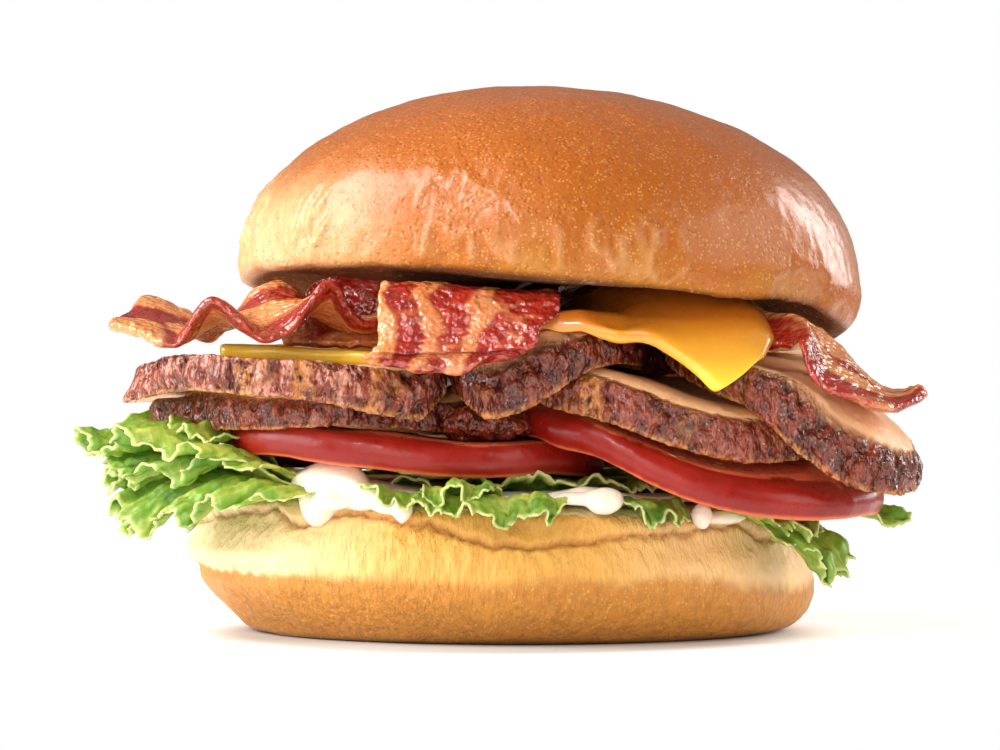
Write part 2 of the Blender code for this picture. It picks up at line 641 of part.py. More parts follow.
def slice_outline(centre, half, squareness, turn, wave, seed, seam, side):
    """An outline with slow waves that is cut off along a seam, and a test for the cut part."""
    def free_radius(angle):
        radius = rounded_outline(angle, half, squareness, turn)
        return radius * (1.0 + wave * lumps(math.cos(angle) * 1.5, math.sin(angle) * 1.5, 0.0, 1.0, seed))

    def seam_distance(angle):
        if seam is None:
            return math.inf
        across = seam[0] + seam[1] * centre[1] + side * 0.5 * SEAM_GAP - centre[0]
        closing = math.cos(angle) - seam[1] * math.sin(angle)
        return across / closing if across * closing > 0.0 else math.inf

    def radius(angle):
        cut = seam_distance(angle)
        free = free_radius(angle)
        return free if cut > 2.0 * free else soft_min(free, cut, SEAM_BLEND)

    def is_cut(angle):
        return seam_distance(angle) < free_radius(angle) + SEAM_BLEND
    return radius, is_cut


def build_slice(name, pile, kind, centre, half, squareness, turn, wave, seed, thickness, inner,
                front, middle, back, lean, seam=None, side=0, **laying):
    outline, is_cut = slice_outline(centre, half, squareness, turn, wave, seed, seam, side)
    boundary = Boundary(centre, outline, SLICE_SEGMENTS[kind] * 3)

    def thick(x, y, share):
        return inner + (thickness - inner) * smooth_step(INNER_FROM, INNER_TO, share)

    draped_slice(name, kind, centre, outline, thick, leaning(boundary, front, middle, back, lean),
                 pile, seed=seed, is_cut=is_cut, **laying)


def build_cheese(pile):
    half = (CHEESE_SIDE * 0.5, CHEESE_SIDE * 0.5)
    turn = math.radians(CHEESE_TURN)
    boundary = Boundary(CHEESE_CENTRE, lambda angle: rounded_outline(
        angle, half, CHEESE_SQUARENESS, CHEESE_TURN), 360)
    height = leaning(boundary, CHEESE_FRONT, CHEESE_MIDDLE, CHEESE_BACK, CHEESE_LEAN)

    def place(u, v):
        across, deep = (u - 0.5) * CHEESE_SIDE, (v - 0.5) * CHEESE_SIDE
        x = CHEESE_CENTRE[0] + across * math.cos(turn) - deep * math.sin(turn)
        y = CHEESE_CENTRE[1] + across * math.sin(turn) + deep * math.cos(turn)
        return x, y, height(x, y)

    corner = place(1.0, 0.0)

    def reach(x, y):
        free = smooth_step(*CHEESE_HANGING, math.hypot(x - corner[0], y - corner[1]))
        return CHEESE_CORNER_REACH + (CHEESE_REACH - CHEESE_CORNER_REACH) * free

    pile.add(sheet_solid("cheese", "cheese", place, (CHEESE_STEPS, CHEESE_STEPS),
                         CHEESE_THICKNESS, pile, reach, ease=2))


# Bacon

def strip_place(front, back, seed):
    """place(u, v) between a strip's front and back edges."""
    def edge(stations, u):
        last = len(stations) - 1
        return Vector([along([(i / last, station[axis]) for i, station in enumerate(stations)], u)
                       for axis in range(3)])

    def place(u, v):
        point = edge(front, u).lerp(edge(back, u), v)
        point.z += BACON_WAVE * lumps(point.x, point.y, 0.0, BACON_WAVE_SIZE, seed)
        return point
    return place


def build_bacon(pile):
    for name, sizes in STRIPS.items():
        place = strip_place(sizes["front"], sizes["back"], sizes["seed"])
        pile.add(sheet_solid(name, "bacon", place, sizes["steps"], BACON_THICKNESS, pile,
                             everywhere(sizes["reach"])))


# Top bun

def crown_profile():
    """(share of the radius, height) from the middle of the underside to the middle of the top."""
    points = [(ring, 0.0) for ring in CROWN_UNDER_RINGS]
    for step in range(CROWN_ROLL_RINGS):
        turn = math.pi * 0.5 * (step + 0.6) / CROWN_ROLL_RINGS
        points.append((1.0 - CROWN_ROLL * (1.0 - math.sin(turn)),
                       CROWN_WIDEST * (1.0 - math.cos(turn))))
    for step in range(CROWN_DOME_RINGS + 1):
        turn = math.pi * 0.5 * step / CROWN_DOME_RINGS
        rise = (CROWN_HEIGHT - CROWN_WIDEST) * math.sin(turn) ** (2.0 / CROWN_FULLNESS)
        last = step == CROWN_DOME_RINGS
        share = 0.0 if last else math.cos(turn) ** (2.0 / CROWN_FULLNESS)
        points.append((share, CROWN_WIDEST + rise))
    return points


def build_crown(pile):
    mesh = spun_profile(crown_profile(), CROWN_SEGMENTS)
    up = Vector((-CROWN_SLOPE_X, -CROWN_SLOPE_Y, 1.0)).normalized()
    right = Vector((1.0, 0.0, CROWN_SLOPE_X)).normalized()
    deep = up.cross(right)
    for vert in mesh.verts:
        share = math.hypot(vert.co.x, vert.co.y)
        height = vert.co.z
        angle = math.atan2(vert.co.y, vert.co.x)
        # the left rim is cut nearly square and the right one rolls under
        if share > CROWN_UNDER_RINGS[-1] + 1e-3 and height < CROWN_WIDEST:
            square = CROWN_SQUARE * (1.0 - math.cos(angle)) * 0.5
            share += (1.0 - share) * square
        radius = CROWN_RADIUS * share
        x, y = radius * math.cos(angle), radius * math.sin(angle)
        radius += CROWN_WAVE * lumps(x, y, height, CROWN_WAVE_SIZE, 6) * share
        drawn = math.sin(math.pi * min(height / CROWN_RIGHT_DRAW_TOP, 1.0))
        radius -= CROWN_RIGHT_DRAW * drawn * max(math.cos(angle), 0.0) * share
        shift = CROWN_SHOULDER_SHIFT * smooth_step(CROWN_WIDEST, CROWN_HEIGHT, height)
        place = Vector(CROWN_CENTRE) + right * (radius * math.cos(angle) + shift)
        place += deep * (radius * math.sin(angle)) + up * height
        if height < CROWN_SOFT_HEIGHT:
            clear = pile.clear_top(place.x, place.y, CROWN_ROLL_REACH)
            if height == 0.0:
                clear = max(clear, pile.highest_near(place.x, place.y, CROWN_UNDER_REACH))
            place.z = max(place.z, clear + CLEARANCE + height)
        vert.co = place
    pile.add(add_piece("bun_top", mesh, CROWN_CENTRE, "bun_top", pile.whole))


def build_sandwich():
    whole = bpy.data.objects.new("sandwich", None)
    bpy.context.scene.collection.objects.link(whole)
    pile = Pile(whole)
    build_heel(pile)
    build_spread(pile)
    build_leaves(pile)
    for name, sizes in SLICES.items():
        build_slice(name, pile, **sizes)
    build_cheese(pile)
    build_bacon(pile)
    build_crown(pile)


build_sandwich()
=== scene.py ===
"""Looks of the turkey club sandwich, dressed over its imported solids.

Each solid of the frame is replaced by a finer piece with its own relief and finish.
Lengths in the working below are in millimetres, and are turned into metres as each mesh is
finished. X runs to the right, Y away from the front and Z up, as in the frame. Angles around
the sandwich are in degrees from +X, so the front is at -90.
"""
import math

import bmesh
import bpy
import numpy as np
from bpy.props import FloatProperty, FloatVectorProperty, PointerProperty
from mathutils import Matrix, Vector, noise
from mathutils.bvhtree import BVHTree
from mathutils.kdtree import KDTree


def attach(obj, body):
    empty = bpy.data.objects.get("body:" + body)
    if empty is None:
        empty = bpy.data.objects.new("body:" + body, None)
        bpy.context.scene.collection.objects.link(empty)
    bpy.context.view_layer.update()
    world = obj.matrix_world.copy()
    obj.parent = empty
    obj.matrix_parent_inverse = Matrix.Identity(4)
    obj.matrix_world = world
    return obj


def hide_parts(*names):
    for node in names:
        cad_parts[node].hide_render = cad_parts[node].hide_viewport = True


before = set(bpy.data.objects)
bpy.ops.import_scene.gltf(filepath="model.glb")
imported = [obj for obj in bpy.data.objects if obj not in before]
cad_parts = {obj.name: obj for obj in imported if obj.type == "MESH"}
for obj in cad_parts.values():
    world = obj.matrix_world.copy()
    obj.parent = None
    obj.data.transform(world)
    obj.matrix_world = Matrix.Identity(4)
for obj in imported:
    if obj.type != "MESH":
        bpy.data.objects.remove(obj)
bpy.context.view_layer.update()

bl_info = {
    "name": "Turkey club sandwich",
    "version": (1, 0, 0),
    "blender": (4, 5, 0),
    "location": "3D View > Sidebar > Sandwich",
    "description": "Dresses the solids of a turkey club sandwich and sets its studio",
    "category": "Object",
}

MM = 0.001
# a height in millimetres that is above everything
SKY = 300.0


# Sizes and colours that a user would change

def colour(name, description, value):
    return FloatVectorProperty(name=name, description=description, subtype="COLOR", size=4,
                               min=0.0, max=1.0, default=(*value, 1.0))


def length(name, description, value):
    return FloatProperty(name=name, description=description, default=value * MM, min=0.0,
                         subtype="DISTANCE", unit="LENGTH")


class BunSettings(bpy.types.PropertyGroup):
    """Crust and crumb of both buns"""
    rim: colour("Rim", "Pale crust low on the top bun", (0.50, 0.205, 0.017))
    golden: colour("Golden", "Golden crust halfway up the top bun", (0.42, 0.112, 0.007))
    brown: colour("Brown", "Browned crust on the crown", (0.45, 0.105, 0.009))
    side: colour("Side", "Pale side of the bottom bun", (0.68, 0.345, 0.062))
    toast: colour("Toast", "Toasted lower band of the bottom bun", (0.55, 0.215, 0.024))
    crumb: colour("Crumb", "Cut crumb inside the buns", (0.93, 0.76, 0.46))
    # Pale is painted light: the crust is made paler where the left softbox lights the bun most, not
    # because it baked less there
    pale: colour("Pale", "Crust that baked least, on the left", (0.78, 0.50, 0.25))
    # the grilled cut face is toasted brown made darker still: partly painted shade for the dark gap
    # under the top bun
    grilled_and_shaded: colour("Grilled", "Grilled cut face of the top bun", (0.17, 0.062, 0.02))
    wrinkle: length("Wrinkle", "Height of the wrinkles in the crust", 0.34)
    voxel: length("Grain", "Spacing of the crust's points", 0.62)


class TurkeySettings(bpy.types.PropertyGroup):
    """Carved turkey slices"""
    meat: colour("Meat", "Pale carved face", (0.86, 0.50, 0.26))
    deep: colour("Deep meat", "Darker fibres of the face", (0.74, 0.40, 0.20))
    crust: colour("Crust", "Dark fried crust", (0.060, 0.0070, 0.0035))
    # Lit crust is painted light: raised crags are made redder and paler, and the grooves darker,
    # for light and shade on the crust
    lit: colour("Lit crust", "Redder crust on the crags", (0.27, 0.042, 0.016))
    # the pale specks are painted glints: they stand for small highlights on the wet crust
    glint_fleck: colour("Fleck", "Pale flecks in the crust", (0.50, 0.17, 0.08))
    # the paler pink is a painted sheen: it stands for the glints on the crust where the left light
    # falls
    bloom: colour("Bloom", "Paler pink crust on the upper left slice", (0.66, 0.30, 0.21))
    golden: colour("Golden edge", "Golden skin at the edges of the crust", (0.64, 0.25, 0.060))
    crag: length("Crag", "Depth of the grooves in the crust", 1.2)
    voxel: length("Grain", "Spacing of the slices' points", 0.50)


class BaconSettings(bpy.types.PropertyGroup):
    """Fried bacon strips"""
    lean: colour("Lean", "Red lean streaks", (0.40, 0.022, 0.012))
    dark: colour("Dark lean", "Darkest lean", (0.17, 0.010, 0.008))
    fat: colour("Fat", "Pale fat", (0.78, 0.32, 0.125))
    amber: colour("Amber fat", "Fat fried to amber", (0.74, 0.24, 0.045))
    relief: length("Relief", "Height of the puffed fat", 0.40)
    voxel: length("Grain", "Spacing of the strips' points", 0.38)


class LeafSettings(bpy.types.PropertyGroup):
    """Ruffled lettuce leaves"""
    pale: colour("Pale", "Pale yellow-green of the ribs", (0.52, 0.57, 0.11))
    green: colour("Green", "Leaf green", (0.17, 0.33, 0.028))
    dark: colour("Dark", "Darker green near the edge", (0.04, 0.13, 0.010))
    edge: colour("Edge", "Pale torn edge", (0.74, 0.76, 0.34))
    thickness: length("Thickness", "Thickness of a leaf", 0.42)


class FillingSettings(bpy.types.PropertyGroup):
    """Tomato, cheese and mayonnaise"""
    skin: colour("Tomato skin", "Red tomato skin", (0.235, 0.006, 0.003))
    flesh: colour("Tomato flesh", "Cut tomato flesh", (0.70, 0.12, 0.055))
    seed: colour("Tomato seeds", "Seeds in the tomato", (0.85, 0.62, 0.30))
    cheese: colour("Cheese", "Cheese slice", (0.95, 0.43, 0.028))
    mayonnaise: colour("Mayonnaise", "Mayonnaise", (0.88, 0.83, 0.71))


class StageSettings(bpy.types.PropertyGroup):
    """Studio and camera"""
    floor: colour("Floor", "Plain pale floor", (0.94, 0.94, 0.94))
    distance: length("Camera distance", "From the camera to the sandwich", 1000.0)
    lens: FloatProperty(name="Lens", description="Focal length of the camera", default=199.3,
                        min=1.0, unit="CAMERA")
    rise: FloatProperty(name="Camera rise", description="Angle of the camera above the floor",
                        default=math.radians(1.0), subtype="ANGLE", unit="ROTATION")


# Working with numbers

def blend_step(low, high, value):
    """0 below low, 1 above high and an S curve between them, for arrays too."""
    part = np.clip((value - low) / (high - low), 0.0, 1.0)
    return part * part * (3.0 - 2.0 * part)


def along(knots, place):
    """A smooth line through (place, value) knots, flat beyond both ends, for arrays too."""
    places = np.array([knot[0] for knot in knots], float)
    values = np.array([knot[1] for knot in knots], float)
    slopes = np.empty_like(values)
    slopes[1:-1] = (values[2:] - values[:-2]) / (places[2:] - places[:-2])
    slopes[0] = (values[1] - values[0]) / (places[1] - places[0])
    slopes[-1] = (values[-1] - values[-2]) / (places[-1] - places[-2])
    at = np.clip(np.asarray(place, float), places[0], places[-1])
    index = np.clip(np.searchsorted(places, at, side="right") - 1, 0, len(places) - 2)
    span = places[index + 1] - places[index]
    t = (at - places[index]) / span
    return ((1 + 2 * t) * (1 - t) ** 2 * values[index] + t * (1 - t) ** 2 * span * slopes[index]
            + t * t * (3 - 2 * t) * values[index + 1] + t * t * (t - 1) * span * slopes[index + 1])


def lumps(co, size, seed=0, stretch=(1.0, 1.0, 1.0)):
    """Smooth noise between about -1 and 1 at each place, one lump about every size."""
    places = co * (np.array(stretch) / size) + np.array((7.31, 3.77, 5.13)) * seed
    return np.array([noise.noise(place) for place in places.tolist()])


def ridges(co, size, seed=0, stretch=(1.0, 1.0, 1.0)):
    """Sharp crests of 1 that fall off to 0 between them."""
    return 1.0 - np.minimum(np.abs(lumps(co, size, seed, stretch)) * 3.2, 1.0)


# Working with meshes

def read_places(data):
    co = np.empty(len(data.vertices) * 3)
    data.vertices.foreach_get("co", co)
    return co.reshape(-1, 3) / MM


def read_surface(data):
    """Each point's place in millimetres and its normal."""
    normals = np.empty(len(data.vertices) * 3)
    data.vertex_normals.foreach_get("vector", normals)
    return read_places(data), normals.reshape(-1, 3)


def write_places(data, co):
    data.vertices.foreach_set("co", (co * MM).ravel())
    data.update()


def write_masks(data, **masks):
    """Writes values between 0 and 1 on the points, for the materials to read."""
    for name, values in masks.items():
        layer = data.attributes.get(name) or data.attributes.new(name, "FLOAT", "POINT")
        layer.data.foreach_set("value", np.clip(values, 0.0, 1.0).astype(np.float32))


def as_data(mesh, name):
    """The working mesh as mesh data."""
    data = bpy.data.meshes.new(name)
    mesh.to_mesh(data)
    mesh.free()
    return data


def solid_copy(node):
    """A closed copy of a CAD node's triangles, joined into quads where they pair up."""
    mesh = bmesh.new()
    mesh.from_mesh(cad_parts[node].data)
    bmesh.ops.remove_doubles(mesh, verts=mesh.verts, dist=1e-6)
    bmesh.ops.join_triangles(mesh, faces=mesh.faces, angle_face_threshold=math.radians(60.0),
                             angle_shape_threshold=math.radians(60.0))
    return mesh


def finer(mesh, levels, voxel=0.0, crease_angle=None, crease=0.0, rounds=0):
    """The mesh subdivided, with its sharper edges held, and evened out where a voxel is given."""
    if crease_angle is not None:
        layer = (mesh.edges.layers.float.get("crease_edge")
                 or mesh.edges.layers.float.new("crease_edge"))
        for edge in mesh.edges:
            if edge.calc_face_angle(0.0) > crease_angle:
                edge[layer] = crease
    draft = as_data(mesh, "draft")
    holder = bpy.data.objects.new("draft", draft)
    bpy.context.scene.collection.objects.link(holder)
    smooth = holder.modifiers.new("smooth", "SUBSURF")
    smooth.levels = smooth.render_levels = levels
    if voxel:
        even = holder.modifiers.new("even", "REMESH")
        even.mode = "VOXEL"
        even.voxel_size = voxel
    shown = holder.evaluated_get(bpy.context.evaluated_depsgraph_get())
    data = bpy.data.meshes.new_from_object(shown)
    bpy.data.objects.remove(holder)
    bpy.data.meshes.remove(draft)
    if rounds:
        mesh = bmesh.new()
        mesh.from_mesh(data)
        for _ in range(rounds):
            bmesh.ops.smooth_vert(mesh, verts=mesh.verts, factor=0.5, use_axis_x=True,
                                  use_axis_y=True, use_axis_z=True)
        mesh.to_mesh(data)
        mesh.free()
    return data


def sheet(places, masks):
    """A grid through the place given at each crossing, with its masks on its points."""
    columns, rows = places.shape[0] - 1, places.shape[1] - 1
    part = bmesh.new()
    bmesh.ops.create_grid(part, x_segments=columns, y_segments=rows, size=0.5)
    layers = {key: part.verts.layers.float.new(key) for key in masks}
    for vert in part.verts:
        i = int(round((vert.co.x + 0.5) * columns))
        j = int(round((vert.co.y + 0.5) * rows))
        vert.co = places[i, j] * MM
        for key, layer in layers.items():
            vert[layer] = float(masks[key][i, j])
    return part


def dress(name, data, material, nodes=()):
    """Makes the finished piece, which rides on the whole and stands for the nodes."""
    data.name = name
    data.materials.clear()
    data.materials.append(material)
    data.shade_smooth()
    piece = bpy.data.objects.new(name, data)
    bpy.context.scene.collection.objects.link(piece)
    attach(piece, "root")
    if nodes:
        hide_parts(*nodes)
    return piece


def tree_of(nodes):
    """One tree of the CAD nodes' faces, in millimetres, for asking how high they reach."""
    corners, faces = [], []
    for node in nodes:
        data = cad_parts[node].data
        start = len(corners)
        corners += read_places(data).tolist()
        faces += [[start + index for index in face.vertices] for face in data.polygons]
    return BVHTree.FromPolygons(corners, faces)


def ground_under(tree, co):
    """How high the tree's faces reach at each place, or -inf where nothing is."""
    down = Vector((0.0, 0.0, -1.0))
    found = [tree.ray_cast(Vector((x, y, SKY)), down)[0] for x, y, _ in co.tolist()]
    return np.array([hit.z if hit is not None else -np.inf for hit in found])


def eased_over(data, values, rounds):
    """Values on a mesh's points, drawn towards those of their neighbours again and again."""
    ends = np.empty(len(data.edges) * 2, int)
    data.edges.foreach_get("vertices", ends)
    first, second = ends.reshape(-1, 2).T
    count = len(values)
    joined = np.maximum(np.bincount(first, minlength=count)
                        + np.bincount(second, minlength=count), 1)
    for _ in range(rounds):
        near = np.bincount(first, values[second], count) + np.bincount(second, values[first], count)
        values = 0.5 * values + 0.5 * near / joined
    return values


def sunk(data, co, normals, nodes, thickness, most, where=1.0):
    """Lets a sheet sink by up to most onto the nodes under it, and keeps it over them."""
    ground = ground_under(tree_of(nodes), co)
    under = co[:, 2] - thickness * (normals[:, 2] + 1.0) * 0.5
    gap = np.where(np.isfinite(ground), under - ground, 0.0)
    drop = eased_over(data, np.clip(gap - 0.3, 0.0, most) * where, 60)
    for _ in range(3):
        drop = np.minimum(drop, np.where(np.isfinite(ground), gap - 0.25, np.inf))
        drop = eased_over(data, drop, 4)
    lowered = co.copy()
    lowered[:, 2] -= drop
    return lowered


class Rim:
    """Where each point of a slice lies: its share of the outline's radius and its level in the
    slice's thickness there."""
    BINS = 360

    def __init__(self, co):
        middle = (co.min(0) + co.max(0)) * 0.5
        self.away = co[:, :2] - middle[:2]
        radius = np.hypot(self.away[:, 0], self.away[:, 1])
        angle = np.arctan2(self.away[:, 1], self.away[:, 0])
        bins = ((angle + math.pi) / math.tau * self.BINS).astype(int) % self.BINS
        outline = np.full(self.BINS, -np.inf)
        np.maximum.at(outline, bins, radius)
        self.share = radius / self.eased(outline)[bins]
        near = self.share > 0.93
        low = np.full(self.BINS, np.inf)
        high = np.full(self.BINS, -np.inf)
        np.minimum.at(low, bins[near], co[near, 2])
        np.maximum.at(high, bins[near], co[near, 2])
        low, high = self.eased(low), self.eased(high)
        tall = np.maximum(high - low, 1.0)
        self.level = np.clip((co[:, 2] - low[bins]) / tall[bins], 0.0, 1.0)
        self.outward = np.column_stack((np.cos(angle), np.sin(angle), np.zeros(len(co))))

    @staticmethod
    def eased(values):
        """The values with empty places filled from their neighbours, and small steps eased."""
        known = np.flatnonzero(np.isfinite(values))
        values = np.interp(np.arange(len(values)), known, values[known], period=len(values))
        wide = np.concatenate((values[-4:], values, values[:4]))
        return np.convolve(wide, np.ones(9) / 9.0, "valid")


# Working with material nodes

def add_node(tree, kind, sockets=None, **settings):
    """Adds a node, and sets or links its inputs by name or number."""
    node = tree.nodes.new("ShaderNode" + kind)
    for key, value in settings.items():
        setattr(node, key, value)
    for key, value in (sockets or {}).items():
        if isinstance(value, bpy.types.NodeSocket):
            tree.links.new(value, node.inputs[key])
        else:
            node.inputs[key].default_value = value
    return node


def maths(tree, operation, first, second=0.0, clamp=False):
    return add_node(tree, "Math", {0: first, 1: second}, operation=operation,
                    use_clamp=clamp).outputs[0]


def blend_colours(tree, factor, first, second):
    return add_node(tree, "Mix", {0: factor, 6: first, 7: second},
                    data_type="RGBA").outputs[2]


def spread(tree, value, low, high, new_low=0.0, new_high=1.0):
    """Maps the range low to high onto a new one, with everything beyond it held."""
    return add_node(tree, "MapRange", {0: value, 1: low, 2: high, 3: new_low, 4: new_high},
                    interpolation_type="SMOOTHSTEP").outputs[0]


def grain(tree, vector, size, detail=3.0, roughness=0.55, distortion=0.0):
    """Noise with one lump about every size millimetres."""
    return add_node(tree, "TexNoise", {
        "Vector": vector, "Scale": 1.0 / (size * MM), "Detail": detail,
        "Roughness": roughness, "Distortion": distortion}).outputs["Fac"]


def cells(tree, vector, size):
    """How far each place is from the middle of its cell, one cell about every size."""
    return add_node(tree, "TexVoronoi", {
        "Vector": vector, "Scale": 1.0 / (size * MM)}).outputs["Distance"]


def stretched(tree, vector, scale):
    return add_node(tree, "Mapping", {"Vector": vector, "Scale": scale}).outputs[0]


def mask(tree, name):
    return add_node(tree, "Attribute", attribute_name=name).outputs["Fac"]


def raised(tree, height, distance, below=None):
    """A bump of a height in millimetres, over another one where that is given."""
    sockets = {"Height": height, "Distance": distance * MM, "Strength": 1.0}
    if below is not None:
        sockets["Normal"] = below
    return add_node(tree, "Bump", sockets).outputs[0]


def new_material(name, view, **fixed):
    """A material with its Principled BSDF, whose fixed values go on the shader's own sockets."""
    material = bpy.data.materials.new(name)
    material.use_nodes = True
    material.diffuse_color = view
    tree = material.node_tree
    shader = tree.nodes["Principled BSDF"]
    for key, value in fixed.items():
        shader.inputs[key.replace("_", " ")].default_value = value
    place = add_node(tree, "TexCoord").outputs["Object"]
    return material, tree, shader, place


def finish_with(tree, shader, base, roughness=None, normal=None, coat=None):
    tree.links.new(base, shader.inputs["Base Color"])
    if roughness is not None:
        tree.links.new(roughness, shader.inputs["Roughness"])
    if normal is not None:
        tree.links.new(normal, shader.inputs["Normal"])
    if coat is not None:
        tree.links.new(coat, shader.inputs["Coat Weight"])


def new_group(name, inputs, outputs):
    """A shader node group with float, colour and vector sockets, and its two end nodes."""
    group = bpy.data.node_groups.new(name, "ShaderNodeTree")
    kinds = {"f": "NodeSocketFloat", "c": "NodeSocketColor", "v": "NodeSocketVector"}
    for side, sockets in (("INPUT", inputs), ("OUTPUT", outputs)):
        for socket, kind in sockets.items():
            group.interface.new_socket(socket, in_out=side, socket_type=kinds[kind])
    return group, group.nodes.new("NodeGroupInput"), group.nodes.new("NodeGroupOutput")


def mottle_group():
    """Mottles a colour in broad patches and fine specks."""
    found = bpy.data.node_groups.get("mottle")
    if found:
        return found
    group, start, end = new_group("mottle", {
        "Vector": "v", "Base": "c", "Patch Colour": "c", "Speck Colour": "c",
        "Patch Size": "f", "Patch Amount": "f", "Speck Size": "f", "Speck Amount": "f"},
        {"Colour": "c"})

    def scaled(size, detail, roughness):
        scale = maths(group, "DIVIDE", 1.0 / MM, start.outputs[size])
        return add_node(group, "TexNoise", {
            "Vector": start.outputs["Vector"], "Scale": scale, "Detail": detail,
            "Roughness": roughness}).outputs["Fac"]

    patches = spread(group, scaled("Patch Size", 4.0, 0.6), 0.38, 0.66)
    specks = spread(group, scaled("Speck Size", 2.0, 0.5), 0.58, 0.72)
    first = blend_colours(group, maths(group, "MULTIPLY", patches, start.outputs["Patch Amount"]),
                          start.outputs["Base"], start.outputs["Patch Colour"])
    second = blend_colours(group, maths(group, "MULTIPLY", specks, start.outputs["Speck Amount"]),
                           first, start.outputs["Speck Colour"])
    group.links.new(second, end.inputs["Colour"])
    return group


def mottled(tree, vector, base, patch, speck, sizes, amounts):
    """The mottle group's colour, with the sizes and amounts of its patches and specks."""
    return add_node(tree, "Group", {
        "Vector": vector, "Base": base, "Patch Colour": patch, "Speck Colour": speck,
        "Patch Size": sizes[0], "Patch Amount": amounts[0],
        "Speck Size": sizes[1], "Speck Amount": amounts[1]},
        node_tree=mottle_group()).outputs["Colour"]


def darker(value, amount):
    return (*(part * amount for part in tuple(value)[:3]), 1.0)


# Buns

CROWN_CENTRE = np.array((8.7, 0.0, 57.0))
CROWN_SLOPE = (-0.097, -0.105)
CROWN_RADIUS = 56.7
CROWN_HEIGHT = 40.5
# places of the torn crust at the rim: degrees around the bun's own axis, height, size
CROWN_TEARS = ((-40.0, 3.0, 7.0), (-34.0, 5.0, 5.0), (118.0, 3.0, 8.0))
# the wavy seam low on the bottom bun's shoulder: degrees from the front, height
HEEL_SEAM = ((-180, 20.0), (-120, 21.5), (-85, 20.0), (-55, 22.4), (-48, 22.9), (-42, 20.6),
             (-31, 22.6), (-24, 22.0), (-18, 20.6), (-12, 20.4), (-4, 17.9), (12, 17.6),
             (26, 18.9), (35, 18.8), (51, 20.0), (60, 17.2), (85, 19.5), (130, 21.0), (180, 20.0))
HEEL_TOAST_LINE = 11.6


def crown_axes():
    up = np.array((-CROWN_SLOPE[0], -CROWN_SLOPE[1], 1.0))
    up /= np.linalg.norm(up)
    right = np.array((1.0, 0.0, CROWN_SLOPE[0]))
    right /= np.linalg.norm(right)
    return right, np.cross(up, right), up


def crown_material(look):
    material, tree, shader, place = new_material(
        "bun_top", look.golden, Roughness=0.40, Coat_Roughness=0.26, Specular_IOR_Level=0.25)
    height = mask(tree, "height")
    broad = grain(tree, place, 17.0, 2.0)
    baked = maths(tree, "ADD", height, maths(tree, "MULTIPLY", maths(
        tree, "SUBTRACT", broad, 0.5), 0.45))
    base = blend_colours(tree, spread(tree, baked, -0.12, 0.20), look.rim,
                         look.golden)
    base = blend_colours(tree, spread(tree, baked, 0.22, 0.80), base, look.brown)
    # painted light: paler crust on the left of the bun, from the mask written there
    base = blend_colours(tree, spread(tree, maths(tree, "ADD", mask(tree, "pale"), maths(
        tree, "MULTIPLY", maths(tree, "SUBTRACT", broad, 0.5), 0.6)), 0.1, 1.0), base,
        look.pale)
    mixed = mottled(tree, place, base, darker(look.brown, 0.9), darker(look.brown, 0.5),
                    (3.2, 0.7), (0.24, 0.40))
    bright = maths(tree, "MULTIPLY", spread(tree, cells(tree, place, 0.66), 0.46, 0.16),
                   spread(tree, grain(tree, place, 1.7, 2.0), 0.40, 0.66, 0.06, 0.46))
    base = blend_colours(tree, bright, mixed, (0.86, 0.46, 0.16, 1.0))
    base = blend_colours(tree, maths(tree, "MULTIPLY", mask(tree, "crest"), 0.30),
                         base, (0.80, 0.50, 0.24, 1.0))
    # the cut crumb under the top bun: toasted, and darkened further as painted shade
    crumb = mottled(tree, place, look.grilled_and_shaded, darker(look.grilled_and_shaded, 0.5),
                    look.crumb, (5.0, 1.0), (0.6, 0.25))
    base = blend_colours(tree, mask(tree, "crumb"), base, crumb)
    pits = spread(tree, cells(tree, place, 1.25), 0.05, 0.42)
    fine = grain(tree, place, 0.42, 2.0, 0.6)
    normal = raised(tree, fine, 0.10)
    normal = raised(tree, pits, 0.15, below=normal)
    normal = raised(tree, grain(tree, place, 3.4, 3.0), 0.24, below=normal)
    rough = spread(tree, grain(tree, place, 6.0, 3.0), 0.3, 0.7, 0.34, 0.50)
    rough = maths(tree, "MAXIMUM", rough, maths(tree, "MULTIPLY", mask(tree, "crumb"), 0.85))
    glaze = maths(tree, "MULTIPLY", spread(tree, baked, 0.05, 0.55, 0.28, 0.70),
                  maths(tree, "SUBTRACT", 1.0, mask(tree, "crumb")))
    finish_with(tree, shader, base, rough, normal, glaze)
    return material


